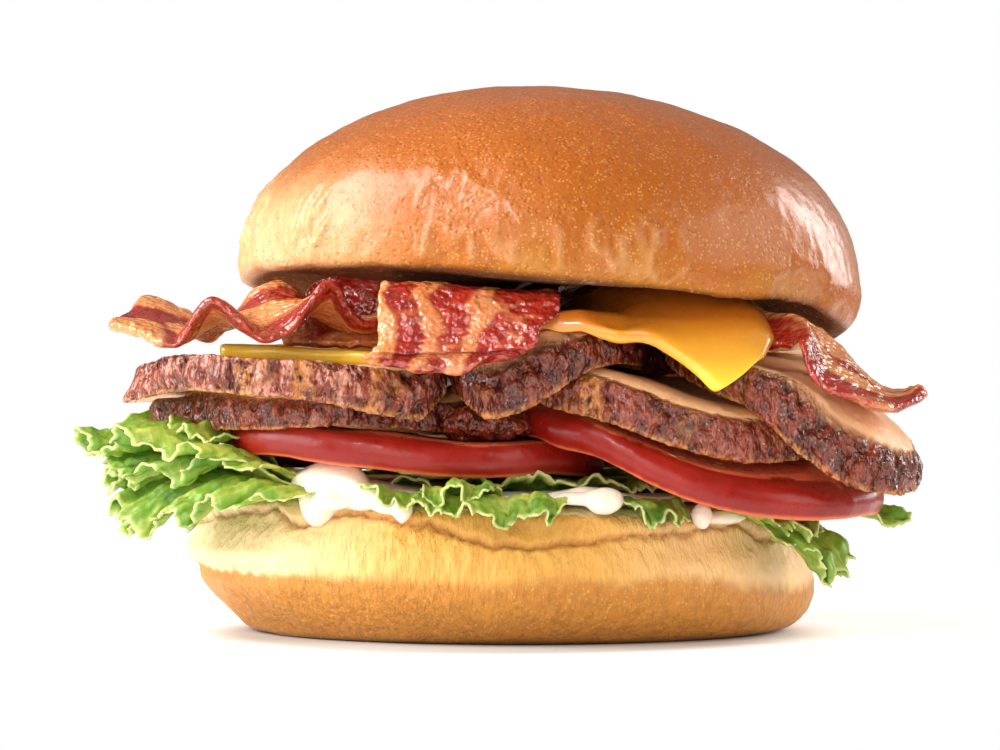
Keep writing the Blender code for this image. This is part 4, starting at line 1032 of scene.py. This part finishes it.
class SANDWICH_OT_bacon(bpy.types.Operator):
    """Dress the fried bacon strips with streaks of lean and fat"""
    bl_idname = "sandwich.bacon"
    bl_label = "Bacon"

    def fry(self, look, material, node, strip):
        seed = strip["seed"]
        data = finer(solid_copy(node), 3, look.voxel, rounds=2)
        co, normals = read_surface(data)
        u, v = (eased_over(data, values, 3) for values in
                strip_shares(co, strip["front"], strip["back"]))
        reach = sum((Vector(b) - Vector(a)).length for a, b in
                    zip(strip["front"], strip["front"][1:]))
        flat = np.column_stack((u * reach, v * STRIP_WIDTH, np.zeros(len(co))))
        bend = 0.09 * lumps(flat, 15.0, seed) + 0.022 * lumps(flat, 5.0, seed + 2)
        lean = along(strip["lean"], v + bend)
        if "tip" in strip:
            tip = blend_step(strip["tip_end"] + 0.05, strip["tip_end"] - 0.05,
                             u + 0.04 * lumps(flat, 6.0, seed + 12))
            lean = lean * (1.0 - tip) + along(strip["tip"], v + bend) * tip
        lean += 0.75 * lumps(flat, 6.0, seed + 4, (0.42, 1.5, 1.0))
        lean += 0.50 * lumps(flat, 2.2, seed + 5, (0.6, 1.3, 1.0))
        lean = blend_step(0.12, 0.95, lean)
        if "rind" in strip:
            # an unbroken red front edge past the tip
            ragged = v * STRIP_WIDTH + 0.5 * lumps(flat, 4.0, seed + 13)
            lean = np.maximum(lean, strip["rind"] * blend_step(3.4, 2.0, ragged)
                              * blend_step(0.16, 0.22, u))
        lean = np.maximum(lean, strip.get("least", 0.0) * blend_step(0.05, 0.12, v))
        wave = lumps(flat, 3.4, seed + 6, (1.2, 0.6, 1.0))
        relief = look.relief / MM * ((1.0 - lean) * 0.9 + 0.75 * wave
                                     + 0.30 * lumps(co, 2.0, seed + 7))
        border = np.minimum(np.minimum(v, 1.0 - v) * STRIP_WIDTH,
                            np.minimum(u, 1.0 - u) * reach)
        hem = blend_step(3.5, 0.0, border)
        moved = co + normals * (relief * 0.8)[:, None]
        moved[:, 2] += (0.55 * lumps(flat, 11.0, seed + 9)
                        + hem * 0.8 * lumps(flat, 4.5, seed + 8))
        moved[:, 1] -= hem * 0.8 * lumps(flat, 5.5, seed + 10)
        if node == "bacon_middle":
            # the end is folded: a crease, then a lower flap with an uneven hem
            crease = np.exp(-((u * reach - 7.2) / 1.1) ** 2)
            flap = blend_step(6.6, 3.6, u * reach)
            moved[:, 1] += 1.3 * crease - 1.5 * flap
            moved[:, 2] += along(FLAP_HEM, v) * blend_step(6.5, 0.0, u * reach)
        if node == "bacon_right":
            # the front edge curls down under the bun
            curl = blend_step(0.34, 0.24, u) * blend_step(0.34, 0.0, v)
            moved[:, 2] -= 5.5 * curl
            moved[:, 1] -= 1.5 * curl
        write_places(data, moved)
        write_masks(data, lean=lean, burnt=(0.7 * blend_step(1.6, 0.1, border) * (1.0 - lean)
                                            * blend_step(1.1, 0.4, np.abs(normals[:, 2]))))
        dress("fried_" + node, data, material, [node])

    def fold(self, material):
        columns, rows = FOLD_SAMPLES
        wide, high = np.meshgrid(np.linspace(0.0, 1.0, columns + 1),
                                 np.linspace(0.0, 1.0, rows + 1), indexing="ij")
        foot, top = (np.stack([along([(i / 3.0, place[axis]) for i, place in enumerate(line)], wide)
                               for axis in range(3)], -1) for line in (FOLD_FOOT, FOLD_TOP))
        places = foot + (top - foot) * high[..., None]
        places[..., 1] += FOLD_BULGE * np.sin(math.pi * high)
        spots = places.reshape(-1, 3)
        relief = 0.7 * lumps(spots, 4.0, 37, (1.0, 1.0, 0.5)) + 0.3 * lumps(spots, 1.6, 38)
        places[..., 1] += relief.reshape(wide.shape)
        streaks = 0.35 * lumps(spots, 4.5, 39, (1.0, 1.0, 0.3)).reshape(wide.shape)
        fold = sheet(places, {"lean": blend_step(0.08, 0.34, high + streaks)})
        piece = dress("fried_bacon_fold", as_data(fold, "bacon_fold"), material)
        thick = piece.modifiers.new("thickness", "SOLIDIFY")
        thick.thickness = FOLD_THICKNESS

    def execute(self, context):
        look = context.scene.sandwich_bacon
        material = bacon_material(look)
        for node, strip in STRIPS.items():
            self.fry(look, material, node, strip)
        self.fold(material)
        return {"FINISHED"}



# Lettuce

# Each leaf has one or more fronds that fan out between two angles. A frond leaves its level
# past the free radius, rises and then hangs, by amounts given along it. Its ruffles are
# (number, steepest heading in radians, phase), and its edge is torn into teeth.
FRONDS = {
    "lettuce_left": (
        dict(angles=(170.0, 228.0), inner=36.0, outer=((0, 66), (0.3, 76), (0.6, 75), (1, 62)),
             level=26.0, free_from=48.0, rise=((0, 13.0), (0.5, 12.0), (1, 6.0)),
             hang=((0, 3.0), (0.35, 7.0), (0.6, 4.5), (1, 2.0)),
             ruffles=((5.2, 1.25, 0.6), (11.0, 0.6, 2.0), (27.0, 0.7, 1.0)),
             teeth=1.8, seed=81, steps=(305, 45)),
        dict(angles=(192.0, 240.0), inner=36.0, outer=((0, 74), (0.35, 75), (0.7, 67), (1, 58)),
             level=25.5, free_from=46.0, rise=((0, 6.5), (0.5, 5.0), (1, 2.0)),
             hang=((0, 9.0), (0.5, 9.5), (1, 6.0)),
             ruffles=((6.4, 1.45, 1.9), (14.0, 0.8, 0.3), (33.0, 0.8, 1.0)),
             teeth=2.4, seed=83, steps=(340, 45)),
        dict(angles=(186.0, 232.0), inner=36.0, outer=((0, 72), (0.4, 74), (0.8, 64), (1, 57)),
             level=26.0, free_from=46.0, rise=((0, 9.5), (0.5, 8.0), (1, 5.5)),
             hang=((0, 6.0), (0.5, 6.5), (1, 2.0)),
             ruffles=((5.0, 1.5, 4.0), (12.0, 0.8, 1.0), (29.0, 0.8, 0.2)),
             teeth=2.4, seed=85, steps=(320, 42)),
        dict(angles=(199.0, 219.0), inner=42.0, outer=((0, 62), (0.5, 66), (1, 62)),
             level=26.0, free_from=46.0, rise=((0, 12.0), (0.5, 12.5), (1, 9.0)),
             hang=((0, 1.0), (1, 1.0)), ruffles=((2.6, 0.9, 0.4), (7.0, 0.5, 1.0)),
             teeth=1.2, seed=105, steps=(150, 32)),
    ),
    "lettuce_front": (
        dict(angles=(100.0, 460.0), inner=4.0, outer=((0, 46), (1, 46)),
             level=26.3, free_from=34.0, rise=((0, 1.3), (1, 1.3)),
             hang=((0, 0.9), (1, 0.9)), ruffles=((23.0, 0.45, 0.4), (57.0, 0.3, 1.0)),
             teeth=0.8, seed=103, steps=(560, 34)),
        dict(angles=(241.0, 285.0), inner=40.0, outer=((0, 59), (0.5, 60), (1, 59.5)),
             level=24.5, free_from=49.0, rise=((0, 3.5), (0.6, 2.6), (1, 2.2)),
             hang=((0, 3.6), (0.5, 5.4), (1, 5.2)), ruffles=((4.2, 1.0, 0.4), (10.0, 0.7, 1.0),
             (23.0, 0.7, 0.2)), teeth=1.7, seed=87, steps=(360, 44)),
        dict(angles=(254.0, 270.0), inner=42.0, outer=((0, 57), (0.5, 60), (1, 58)),
             level=25.0, free_from=48.0, rise=((0, 2.6), (0.5, 3.6), (1, 3.0)),
             hang=((0, 1.0), (0.5, 0.6), (1, 2.5)), ruffles=((2.2, 1.4, 3.2), (6.0, 0.6, 1.4)),
             teeth=1.6, seed=89, steps=(160, 36)),
    ),
    "lettuce_middle": (
        dict(angles=(291.0, 307.0), inner=40.0, outer=((0, 57), (0.5, 58.5), (1, 57)),
             level=24.0, free_from=48.0, rise=((0, 2.4), (1, 2.4)),
             hang=((0, 5.0), (1, 6.0)), ruffles=((2.6, 1.25, 0.9), (7.0, 0.6, 2.0)),
             teeth=1.5, seed=91, steps=(170, 40)),
    ),
    "lettuce_right": (
        dict(angles=(317.0, 341.0), inner=38.0, outer=((0, 61), (0.5, 69), (1, 64)),
             level=22.0, free_from=50.0, rise=((0, 1.0), (1, 1.0)),
             hang=((0, 5.0), (0.35, 11.0), (0.7, 13.0), (1, 5.0)),
             ruffles=((4.0, 1.45, 2.4), (9.0, 0.8, 0.4), (21.0, 0.8, 1.0)),
             teeth=2.4, seed=93, steps=(360, 60)),
        dict(angles=(312.0, 338.0), inner=38.0, outer=((0, 58), (0.5, 65), (1, 64)),
             level=22.8, free_from=50.0, rise=((0, 1.4), (1, 1.4)),
             hang=((0, 4.0), (0.5, 7.5), (1, 4.0)), ruffles=((3.6, 1.4, 0.2), (8.0, 0.8, 2.4),
             (19.0, 0.8, 0.6)), teeth=2.2, seed=95, steps=(320, 52)),
        dict(angles=(338.0, 355.0), inner=44.0, outer=((0, 62), (0.5, 74.5), (0.75, 66), (1, 60)),
             level=23.0, free_from=54.0, rise=((0, 1.4), (1, 1.0)),
             hang=((0, 2.0), (0.5, 4.0), (1, 2.0)), ruffles=((2.4, 1.4, 1.0), (6.0, 0.6, 0.4)),
             teeth=2.0, seed=97, steps=(180, 48)),
    ),
    "lettuce_back": (
        dict(angles=(40.0, 128.0), inner=38.0, outer=((0, 60), (0.5, 63.5), (1, 60)),
             level=25.0, free_from=50.0, rise=((0, 3.0), (1, 3.0)),
             hang=((0, 4.0), (0.5, 6.0), (1, 4.0)), ruffles=((7.5, 1.4, 1.0), (17.0, 0.6, 0.4)),
             teeth=1.8, seed=99, steps=(360, 38)),
    ),
}
LEAF_RISE_END = 0.45
LEAF_HANG_POWER = 1.7
LEAF_CORNER = 0.13


def frond_grid(angles, inner, outer, level, free_from, rise, hang, ruffles, teeth, seed, steps):
    """Places, veins and edges of a frond at each crossing of its grid."""
    columns, rows = steps
    u = np.linspace(0.0, 1.0, columns + 1)
    v = np.linspace(0.0, 1.0, rows + 1)
    wide, deep = np.meshgrid(u, v, indexing="ij")
    swing = math.radians(angles[1] - angles[0])
    line = np.column_stack((u * swing * 60.0, np.zeros((len(u), 2))))
    torn = teeth * (lumps(line, 8.0, seed + 7) + 0.6 * lumps(line, 3.0, seed)
                    + 0.95 * ridges(line, 2.9, seed + 1) * (0.7 + 0.6 * lumps(line, 7.0, seed + 9))
                    + 0.35 * ridges(line, 1.2, seed + 10) - 0.65)
    corner = blend_step(0.0, LEAF_CORNER, u) * blend_step(0.0, LEAF_CORNER, 1.0 - u)
    edge = inner + (along(outer, u) - inner) * (0.62 + 0.38 * corner) + torn
    radius = inner + (edge[:, None] - inner) * deep
    free = np.clip((radius - free_from) / (edge.max() - free_from), 0.0, 1.0)
    grown = free ** 1.25
    heading = np.zeros_like(wide)
    for number, steepest, phase in ruffles:
        wobble = 1.7 * lumps(line, 13.0, seed + 2)[:, None]
        heading += steepest * grown * np.sin(math.tau * number * wide + phase + wobble)
    forward, rising = np.cos(heading), np.sin(heading)
    total = forward.sum(0)[None, :]
    around = np.cumsum(forward, 0) / total
    lift = np.cumsum(rising, 0) / total * swing * radius
    lift -= lift[:1] + (lift[-1:] - lift[:1]) * wide
    body = level + along(rise, u)[:, None] * blend_step(0.0, LEAF_RISE_END, free)
    body -= along(hang, u)[:, None] * free ** LEAF_HANG_POWER
    slope = np.gradient(body, axis=1) / np.maximum(np.gradient(radius, axis=1), 1e-3)
    norm = np.hypot(slope, 1.0)
    spot = np.stack((wide * swing * 60.0, radius, np.zeros_like(wide)), -1).reshape(-1, 3)
    frill = (1.5 * lumps(spot, 7.0, seed + 8) + 1.1 * lumps(spot, 3.4, seed + 3)
             + 0.8 * lumps(spot, 1.6, seed + 4) + 0.35 * lumps(spot, 0.8, seed + 11))
    vein_lines = ridges(spot, 5.5, seed + 5, (1.0, 0.22, 1.0)).reshape(wide.shape)
    branch = ridges(spot, 2.6, seed + 6, (1.0, 0.5, 1.0)).reshape(wide.shape)
    offset = lift + frill.reshape(wide.shape) * (0.25 + 1.0 * free ** 2) - 0.35 * vein_lines ** 3
    out = radius - offset * slope / norm * 0.9
    high = body + offset / norm
    angle = math.radians(angles[0]) + swing * around
    places = np.stack((out * np.cos(angle), out * np.sin(angle), high), -1)
    veins = np.clip(vein_lines ** 3 * (1.15 - 0.6 * free) + 0.45 * branch ** 3, 0.0, 1.0)
    rim = np.maximum(blend_step(0.50, 0.05, (edge[:, None] - radius)),
                     blend_step(0.012, 0.0, np.minimum(wide, 1.0 - wide)))
    return places, veins, rim, free


def leaf_material(look):
    material, tree, shader, place = new_material(
        "lettuce", look.green, Roughness=0.42, Specular_IOR_Level=0.5, Subsurface_Weight=0.18,
        Subsurface_Scale=0.002, Subsurface_Radius=(0.6, 1.0, 0.2))
    outward = mask(tree, "outward")
    patch = grain(tree, place, 6.0, 3.0)
    mixed = maths(tree, "ADD", maths(tree, "MULTIPLY", outward, 0.5),
                  maths(tree, "MULTIPLY", maths(tree, "SUBTRACT", patch, 0.42), 1.6))
    base = blend_colours(tree, spread(tree, mixed, 0.05, 0.42), look.pale,
                         look.green)
    base = blend_colours(tree, spread(tree, mixed, 0.48, 0.95), base, look.dark)
    base = blend_colours(tree, maths(tree, "MULTIPLY", mask(tree, "vein"), 0.75), base,
                         look.pale)
    base = blend_colours(tree, maths(tree, "MULTIPLY", mask(tree, "edge"), 0.6), base,
                         look.edge)
    normal = raised(tree, grain(tree, place, 0.7, 2.0), 0.10)
    normal = raised(tree, cells(tree, place, 1.8), 0.30, below=normal)
    rough = spread(tree, patch, 0.3, 0.7, 0.34, 0.5)
    finish_with(tree, shader, base, rough, normal)
    return material


class SANDWICH_OT_lettuce(bpy.types.Operator):
    """Model the ruffled lettuce leaves with torn edges and veins"""
    bl_idname = "sandwich.lettuce"
    bl_label = "Lettuce"

    def execute(self, context):
        look = context.scene.sandwich_leaf
        material = leaf_material(look)
        for node, fronds in FRONDS.items():
            leaf = bmesh.new()
            for frond in fronds:
                places, veins, rim, free = frond_grid(**frond)
                # painted shade: the middle leaf and the low bed frond under the tomato are pushed
                # to their darkest green
                if node == "lettuce_middle" or frond["outer"][0][1] < 50:
                    free = free * 0.4 + 1.0
                masks = {"vein": veins, "edge": rim, "outward": free}
                draft = as_data(sheet(places, masks), "frond")
                leaf.from_mesh(draft)
                bpy.data.meshes.remove(draft)
            piece = dress("ruffled_" + node, as_data(leaf, node), material, [node])
            wall = piece.modifiers.new("thickness", "SOLIDIFY")
            wall.thickness = look.thickness
            wall.offset = 0.0
            wall.use_even_offset = False
        return {"FINISHED"}


# Mayonnaise

# thin sauce over the heel's edge: degrees, radius, height of the middle, half sizes, run down
DROPS = (
    (-125.0, 51.0, 27.4, (8.6, 3.4, 4.2), 0.4),
    (-127.0, 52.6, 24.8, (4.0, 3.2, 3.6), 1.2),
    (-118.0, 52.0, 25.6, (6.0, 2.6, 2.4), 0.3),
    (-111.0, 53.6, 24.2, (4.2, 1.8, 1.5), 0.2),
    (-108.3, 54.2, 23.2, (1.8, 1.7, 1.9), 0.4),
    (-71.0, 53.2, 25.0, (3.9, 2.2, 2.5), 0.2),
    (-76.0, 52.4, 25.4, (4.6, 2.0, 1.2), 0.1),
    (-51.0, 54.8, 22.2, (2.2, 1.9, 2.2), 0.5),
    (-44.0, 53.0, 21.6, (6.4, 2.2, 1.3), 0.2),
)


RUN_VOXEL = 0.42 * MM


def mayonnaise_material(look):
    material, tree, shader, place = new_material(
        "mayonnaise", look.mayonnaise, Roughness=0.2, Coat_Weight=0.3, Coat_Roughness=0.08,
        Specular_IOR_Level=0.5, Subsurface_Weight=0.3, Subsurface_Scale=0.002,
        Subsurface_Radius=(1.0, 0.95, 0.8))
    sauce = mottled(tree, place, look.mayonnaise, (0.82, 0.72, 0.52, 1.0),
                    (0.92, 0.88, 0.78, 1.0), (6.0, 1.5), (0.4, 0.2))
    normal = raised(tree, grain(tree, place, 2.2, 2.0), 0.25)
    rough = spread(tree, grain(tree, place, 4.0, 2.0), 0.3, 0.7, 0.14, 0.30)
    finish_with(tree, shader, sauce, rough, normal)
    return material


class SANDWICH_OT_mayonnaise(bpy.types.Operator):
    """Dress the mayonnaise and add its thin runs over the bun's edge"""
    bl_idname = "sandwich.mayonnaise"
    bl_label = "Mayonnaise"

    def execute(self, context):
        material = mayonnaise_material(context.scene.sandwich_filling)
        data = finer(solid_copy("mayonnaise"), 3, rounds=2)
        co, normals = read_surface(data)
        relief = 0.25 * lumps(co, 6.0, 111) + 0.12 * lumps(co, 2.6, 112)
        write_places(data, co + normals * relief[:, None])
        dress("mayonnaise_spread", data, material, ["mayonnaise"])
        runs = bmesh.new()
        for number, (angle, radius, height, half, run) in enumerate(DROPS):
            turn = math.radians(angle)
            outward = Vector((math.cos(turn), math.sin(turn), 0.0))
            beside = Vector((-math.sin(turn), math.cos(turn), 0.0))
            middle = outward * radius + Vector((0.0, 0.0, height))
            made = bmesh.ops.create_icosphere(runs, subdivisions=5, radius=1.0)
            for vert in made["verts"]:
                place = vert.co.copy()
                lump = 1.0 + 0.16 * noise.noise(place * 1.4 + Vector((number * 5.0, 0, 0)))
                low = max(-place.z, 0.0)
                narrow = 1.0 - 0.12 * low
                vert.co = (middle + beside * place.x * half[0] * lump * narrow
                           + outward * (place.y * half[1] * lump + 0.5 * low)
                           + Vector((0, 0, place.z * half[2] * lump - run * low * low))) * MM
        bmesh.ops.recalc_face_normals(runs, faces=runs.faces)
        data = finer(runs, 0, RUN_VOXEL, rounds=14)
        dress("mayonnaise_runs", data, material)
        return {"FINISHED"}


# Studio

FLOOR_HALF = 0.22
# the floor is darker and doesn't glow close to the bun, to stand for the contact shadow
FLOOR_SHADE = 0.64
FLOOR_GLOW = 0.5
SHADE_SCALE = (1.12, 1.0, 1.0)
SHADE_SHIFT = (0.0, 14.0 * MM, 0.0)
SHADE_START = 50.0 * MM
SHADE_END = 68.0 * MM
GLOW_END = 72.0 * MM
WHITE = (1.0, 1.0, 1.0, 1.0)
BLACK = (0.0, 0.0, 0.0, 1.0)
AMBIENT_TINT = (1.0, 0.94, 0.86, 1.0)
AMBIENT_STRENGTH = 0.23
CAMERA_TARGET = (-0.00036, 0.0, 0.0457)
SENSOR_WIDTH = 36.0
CAMERA_REACH = 20.0
# direction from the sandwich, distance, width, height, watts, colour
LAMPS = {
    "left softbox": ((-0.90, -0.12, 0.46), 0.75, 0.50, 0.80, 11.0, (1.0, 1.0, 1.0)),
    "right softbox": ((0.90, -0.30, 0.30), 0.90, 0.70, 0.60, 3.5, (1.0, 0.93, 0.83)),
    "rim softbox": ((0.80, 0.55, 0.30), 0.80, 0.26, 0.45, 3.2, (1.0, 0.99, 0.97)),
    "front softbox": ((-0.22, -0.90, 0.17), 1.10, 0.90, 0.60, 5.2, (1.0, 0.92, 0.80)),
    "key": ((-0.42, -0.70, 0.58), 0.95, 0.12, 0.12, 2.6, (1.0, 0.97, 0.92)),
}


class SANDWICH_OT_stage(bpy.types.Operator):
    """Set the pale floor, the soft studio lamps and the camera"""
    bl_idname = "sandwich.stage"
    bl_label = "Stage"

    def floor(self, scene, look):
        mesh = bmesh.new()
        bmesh.ops.create_grid(mesh, x_segments=1, y_segments=1, size=FLOOR_HALF)
        data = as_data(mesh, "floor")
        material, tree, shader, place = new_material(
            "floor", look.floor, Roughness=0.6, Specular_IOR_Level=0.2,
            Emission_Color=WHITE, Emission_Strength=FLOOR_GLOW)
        moved = add_node(tree, "Mapping", {"Vector": place, "Scale": SHADE_SCALE,
                                           "Location": SHADE_SHIFT}).outputs[0]
        away = add_node(tree, "VectorMath", {0: moved}, operation="LENGTH").outputs["Value"]
        finish_with(tree, shader, blend_colours(
            tree, spread(tree, away, SHADE_START, SHADE_END), darker(look.floor, FLOOR_SHADE),
            look.floor))
        glow = blend_colours(tree, spread(tree, away, SHADE_START, GLOW_END), BLACK, WHITE)
        tree.links.new(glow, shader.inputs["Emission Color"])
        data.materials.append(material)
        floor = bpy.data.objects.new("floor", data)
        scene.collection.objects.link(floor)

    def ambient(self, scene):
        world = bpy.data.worlds.new("studio")
        world.use_nodes = True
        tree = world.node_tree
        soft = tree.nodes["Background"]
        soft.inputs["Color"].default_value = AMBIENT_TINT
        soft.inputs["Strength"].default_value = AMBIENT_STRENGTH
        seen = add_node(tree, "Background", {"Color": WHITE, "Strength": 1.0})
        either = add_node(tree, "MixShader", {
            0: add_node(tree, "LightPath").outputs["Is Camera Ray"],
            1: soft.outputs[0], 2: seen.outputs[0]})
        tree.links.new(either.outputs[0], tree.nodes["World Output"].inputs["Surface"])
        scene.world = world

    def lamps(self, scene, target):
        for name, (direction, distance, wide, tall, watts, tint) in LAMPS.items():
            lamp = bpy.data.lights.new(name, "AREA")
            lamp.shape = "RECTANGLE"
            lamp.size, lamp.size_y = wide, tall
            lamp.energy = watts
            lamp.color = tint
            holder = bpy.data.objects.new(name, lamp)
            holder.location = target + Vector(direction).normalized() * distance
            aim = target - holder.location
            holder.rotation_euler = aim.to_track_quat("-Z", "Y").to_euler()
            scene.collection.objects.link(holder)

    def camera(self, scene, look, target):
        eye = bpy.data.cameras.new("camera")
        eye.lens = look.lens
        eye.sensor_width = SENSOR_WIDTH
        eye.clip_end = CAMERA_REACH
        camera = bpy.data.objects.new("camera", eye)
        away = Vector((0.0, -math.cos(look.rise), math.sin(look.rise)))
        camera.location = target + away * look.distance
        camera.rotation_euler = (-away).to_track_quat("-Z", "Y").to_euler()
        scene.collection.objects.link(camera)
        scene.camera = camera

    def execute(self, context):
        scene = context.scene
        look = scene.sandwich_stage
        target = Vector(CAMERA_TARGET)
        self.floor(scene, look)
        self.ambient(scene)
        self.lamps(scene, target)
        self.camera(scene, look, target)
        scene.view_settings.view_transform = "Standard"
        return {"FINISHED"}


class SANDWICH_PT_panel(bpy.types.Panel):
    """Lists the sandwich's pieces and its stage"""
    bl_idname = "SANDWICH_PT_panel"
    bl_label = "Turkey club sandwich"
    bl_space_type = "VIEW_3D"
    bl_region_type = "UI"
    bl_category = "Sandwich"

    def draw(self, context):
        for operator, settings in PIECES:
            box = self.layout.box()
            box.operator(operator.bl_idname)
            look = getattr(context.scene, settings)
            for key in look.bl_rna.properties.keys():
                if key not in ("rna_type", "name"):
                    box.prop(look, key)


SETTINGS = {
    "sandwich_bun": BunSettings,
    "sandwich_turkey": TurkeySettings,
    "sandwich_bacon": BaconSettings,
    "sandwich_leaf": LeafSettings,
    "sandwich_filling": FillingSettings,
    "sandwich_stage": StageSettings,
}
PIECES = (
    (SANDWICH_OT_buns, "sandwich_bun"),
    (SANDWICH_OT_turkey, "sandwich_turkey"),
    (SANDWICH_OT_bacon, "sandwich_bacon"),
    (SANDWICH_OT_lettuce, "sandwich_leaf"),
    (SANDWICH_OT_tomato, "sandwich_filling"),
    (SANDWICH_OT_cheese, "sandwich_filling"),
    (SANDWICH_OT_mayonnaise, "sandwich_filling"),
    (SANDWICH_OT_stage, "sandwich_stage"),
)


def register():
    for settings in SETTINGS.values():
        bpy.utils.register_class(settings)
    for operator, _ in PIECES:
        bpy.utils.register_class(operator)
    bpy.utils.register_class(SANDWICH_PT_panel)
    for name, settings in SETTINGS.items():
        setattr(bpy.types.Scene, name, PointerProperty(type=settings))


def unregister():
    for name in SETTINGS:
        delattr(bpy.types.Scene, name)
    bpy.utils.unregister_class(SANDWICH_PT_panel)
    for operator, _ in reversed(PIECES):
        bpy.utils.unregister_class(operator)
    for settings in SETTINGS.values():
        bpy.utils.unregister_class(settings)


def main():
    register()
    bpy.ops.sandwich.buns()
    bpy.ops.sandwich.turkey()
    bpy.ops.sandwich.bacon()
    bpy.ops.sandwich.lettuce()
    bpy.ops.sandwich.tomato()
    bpy.ops.sandwich.cheese()
    bpy.ops.sandwich.mayonnaise()
    bpy.ops.sandwich.stage()


if __name__ == "__main__":
    main()
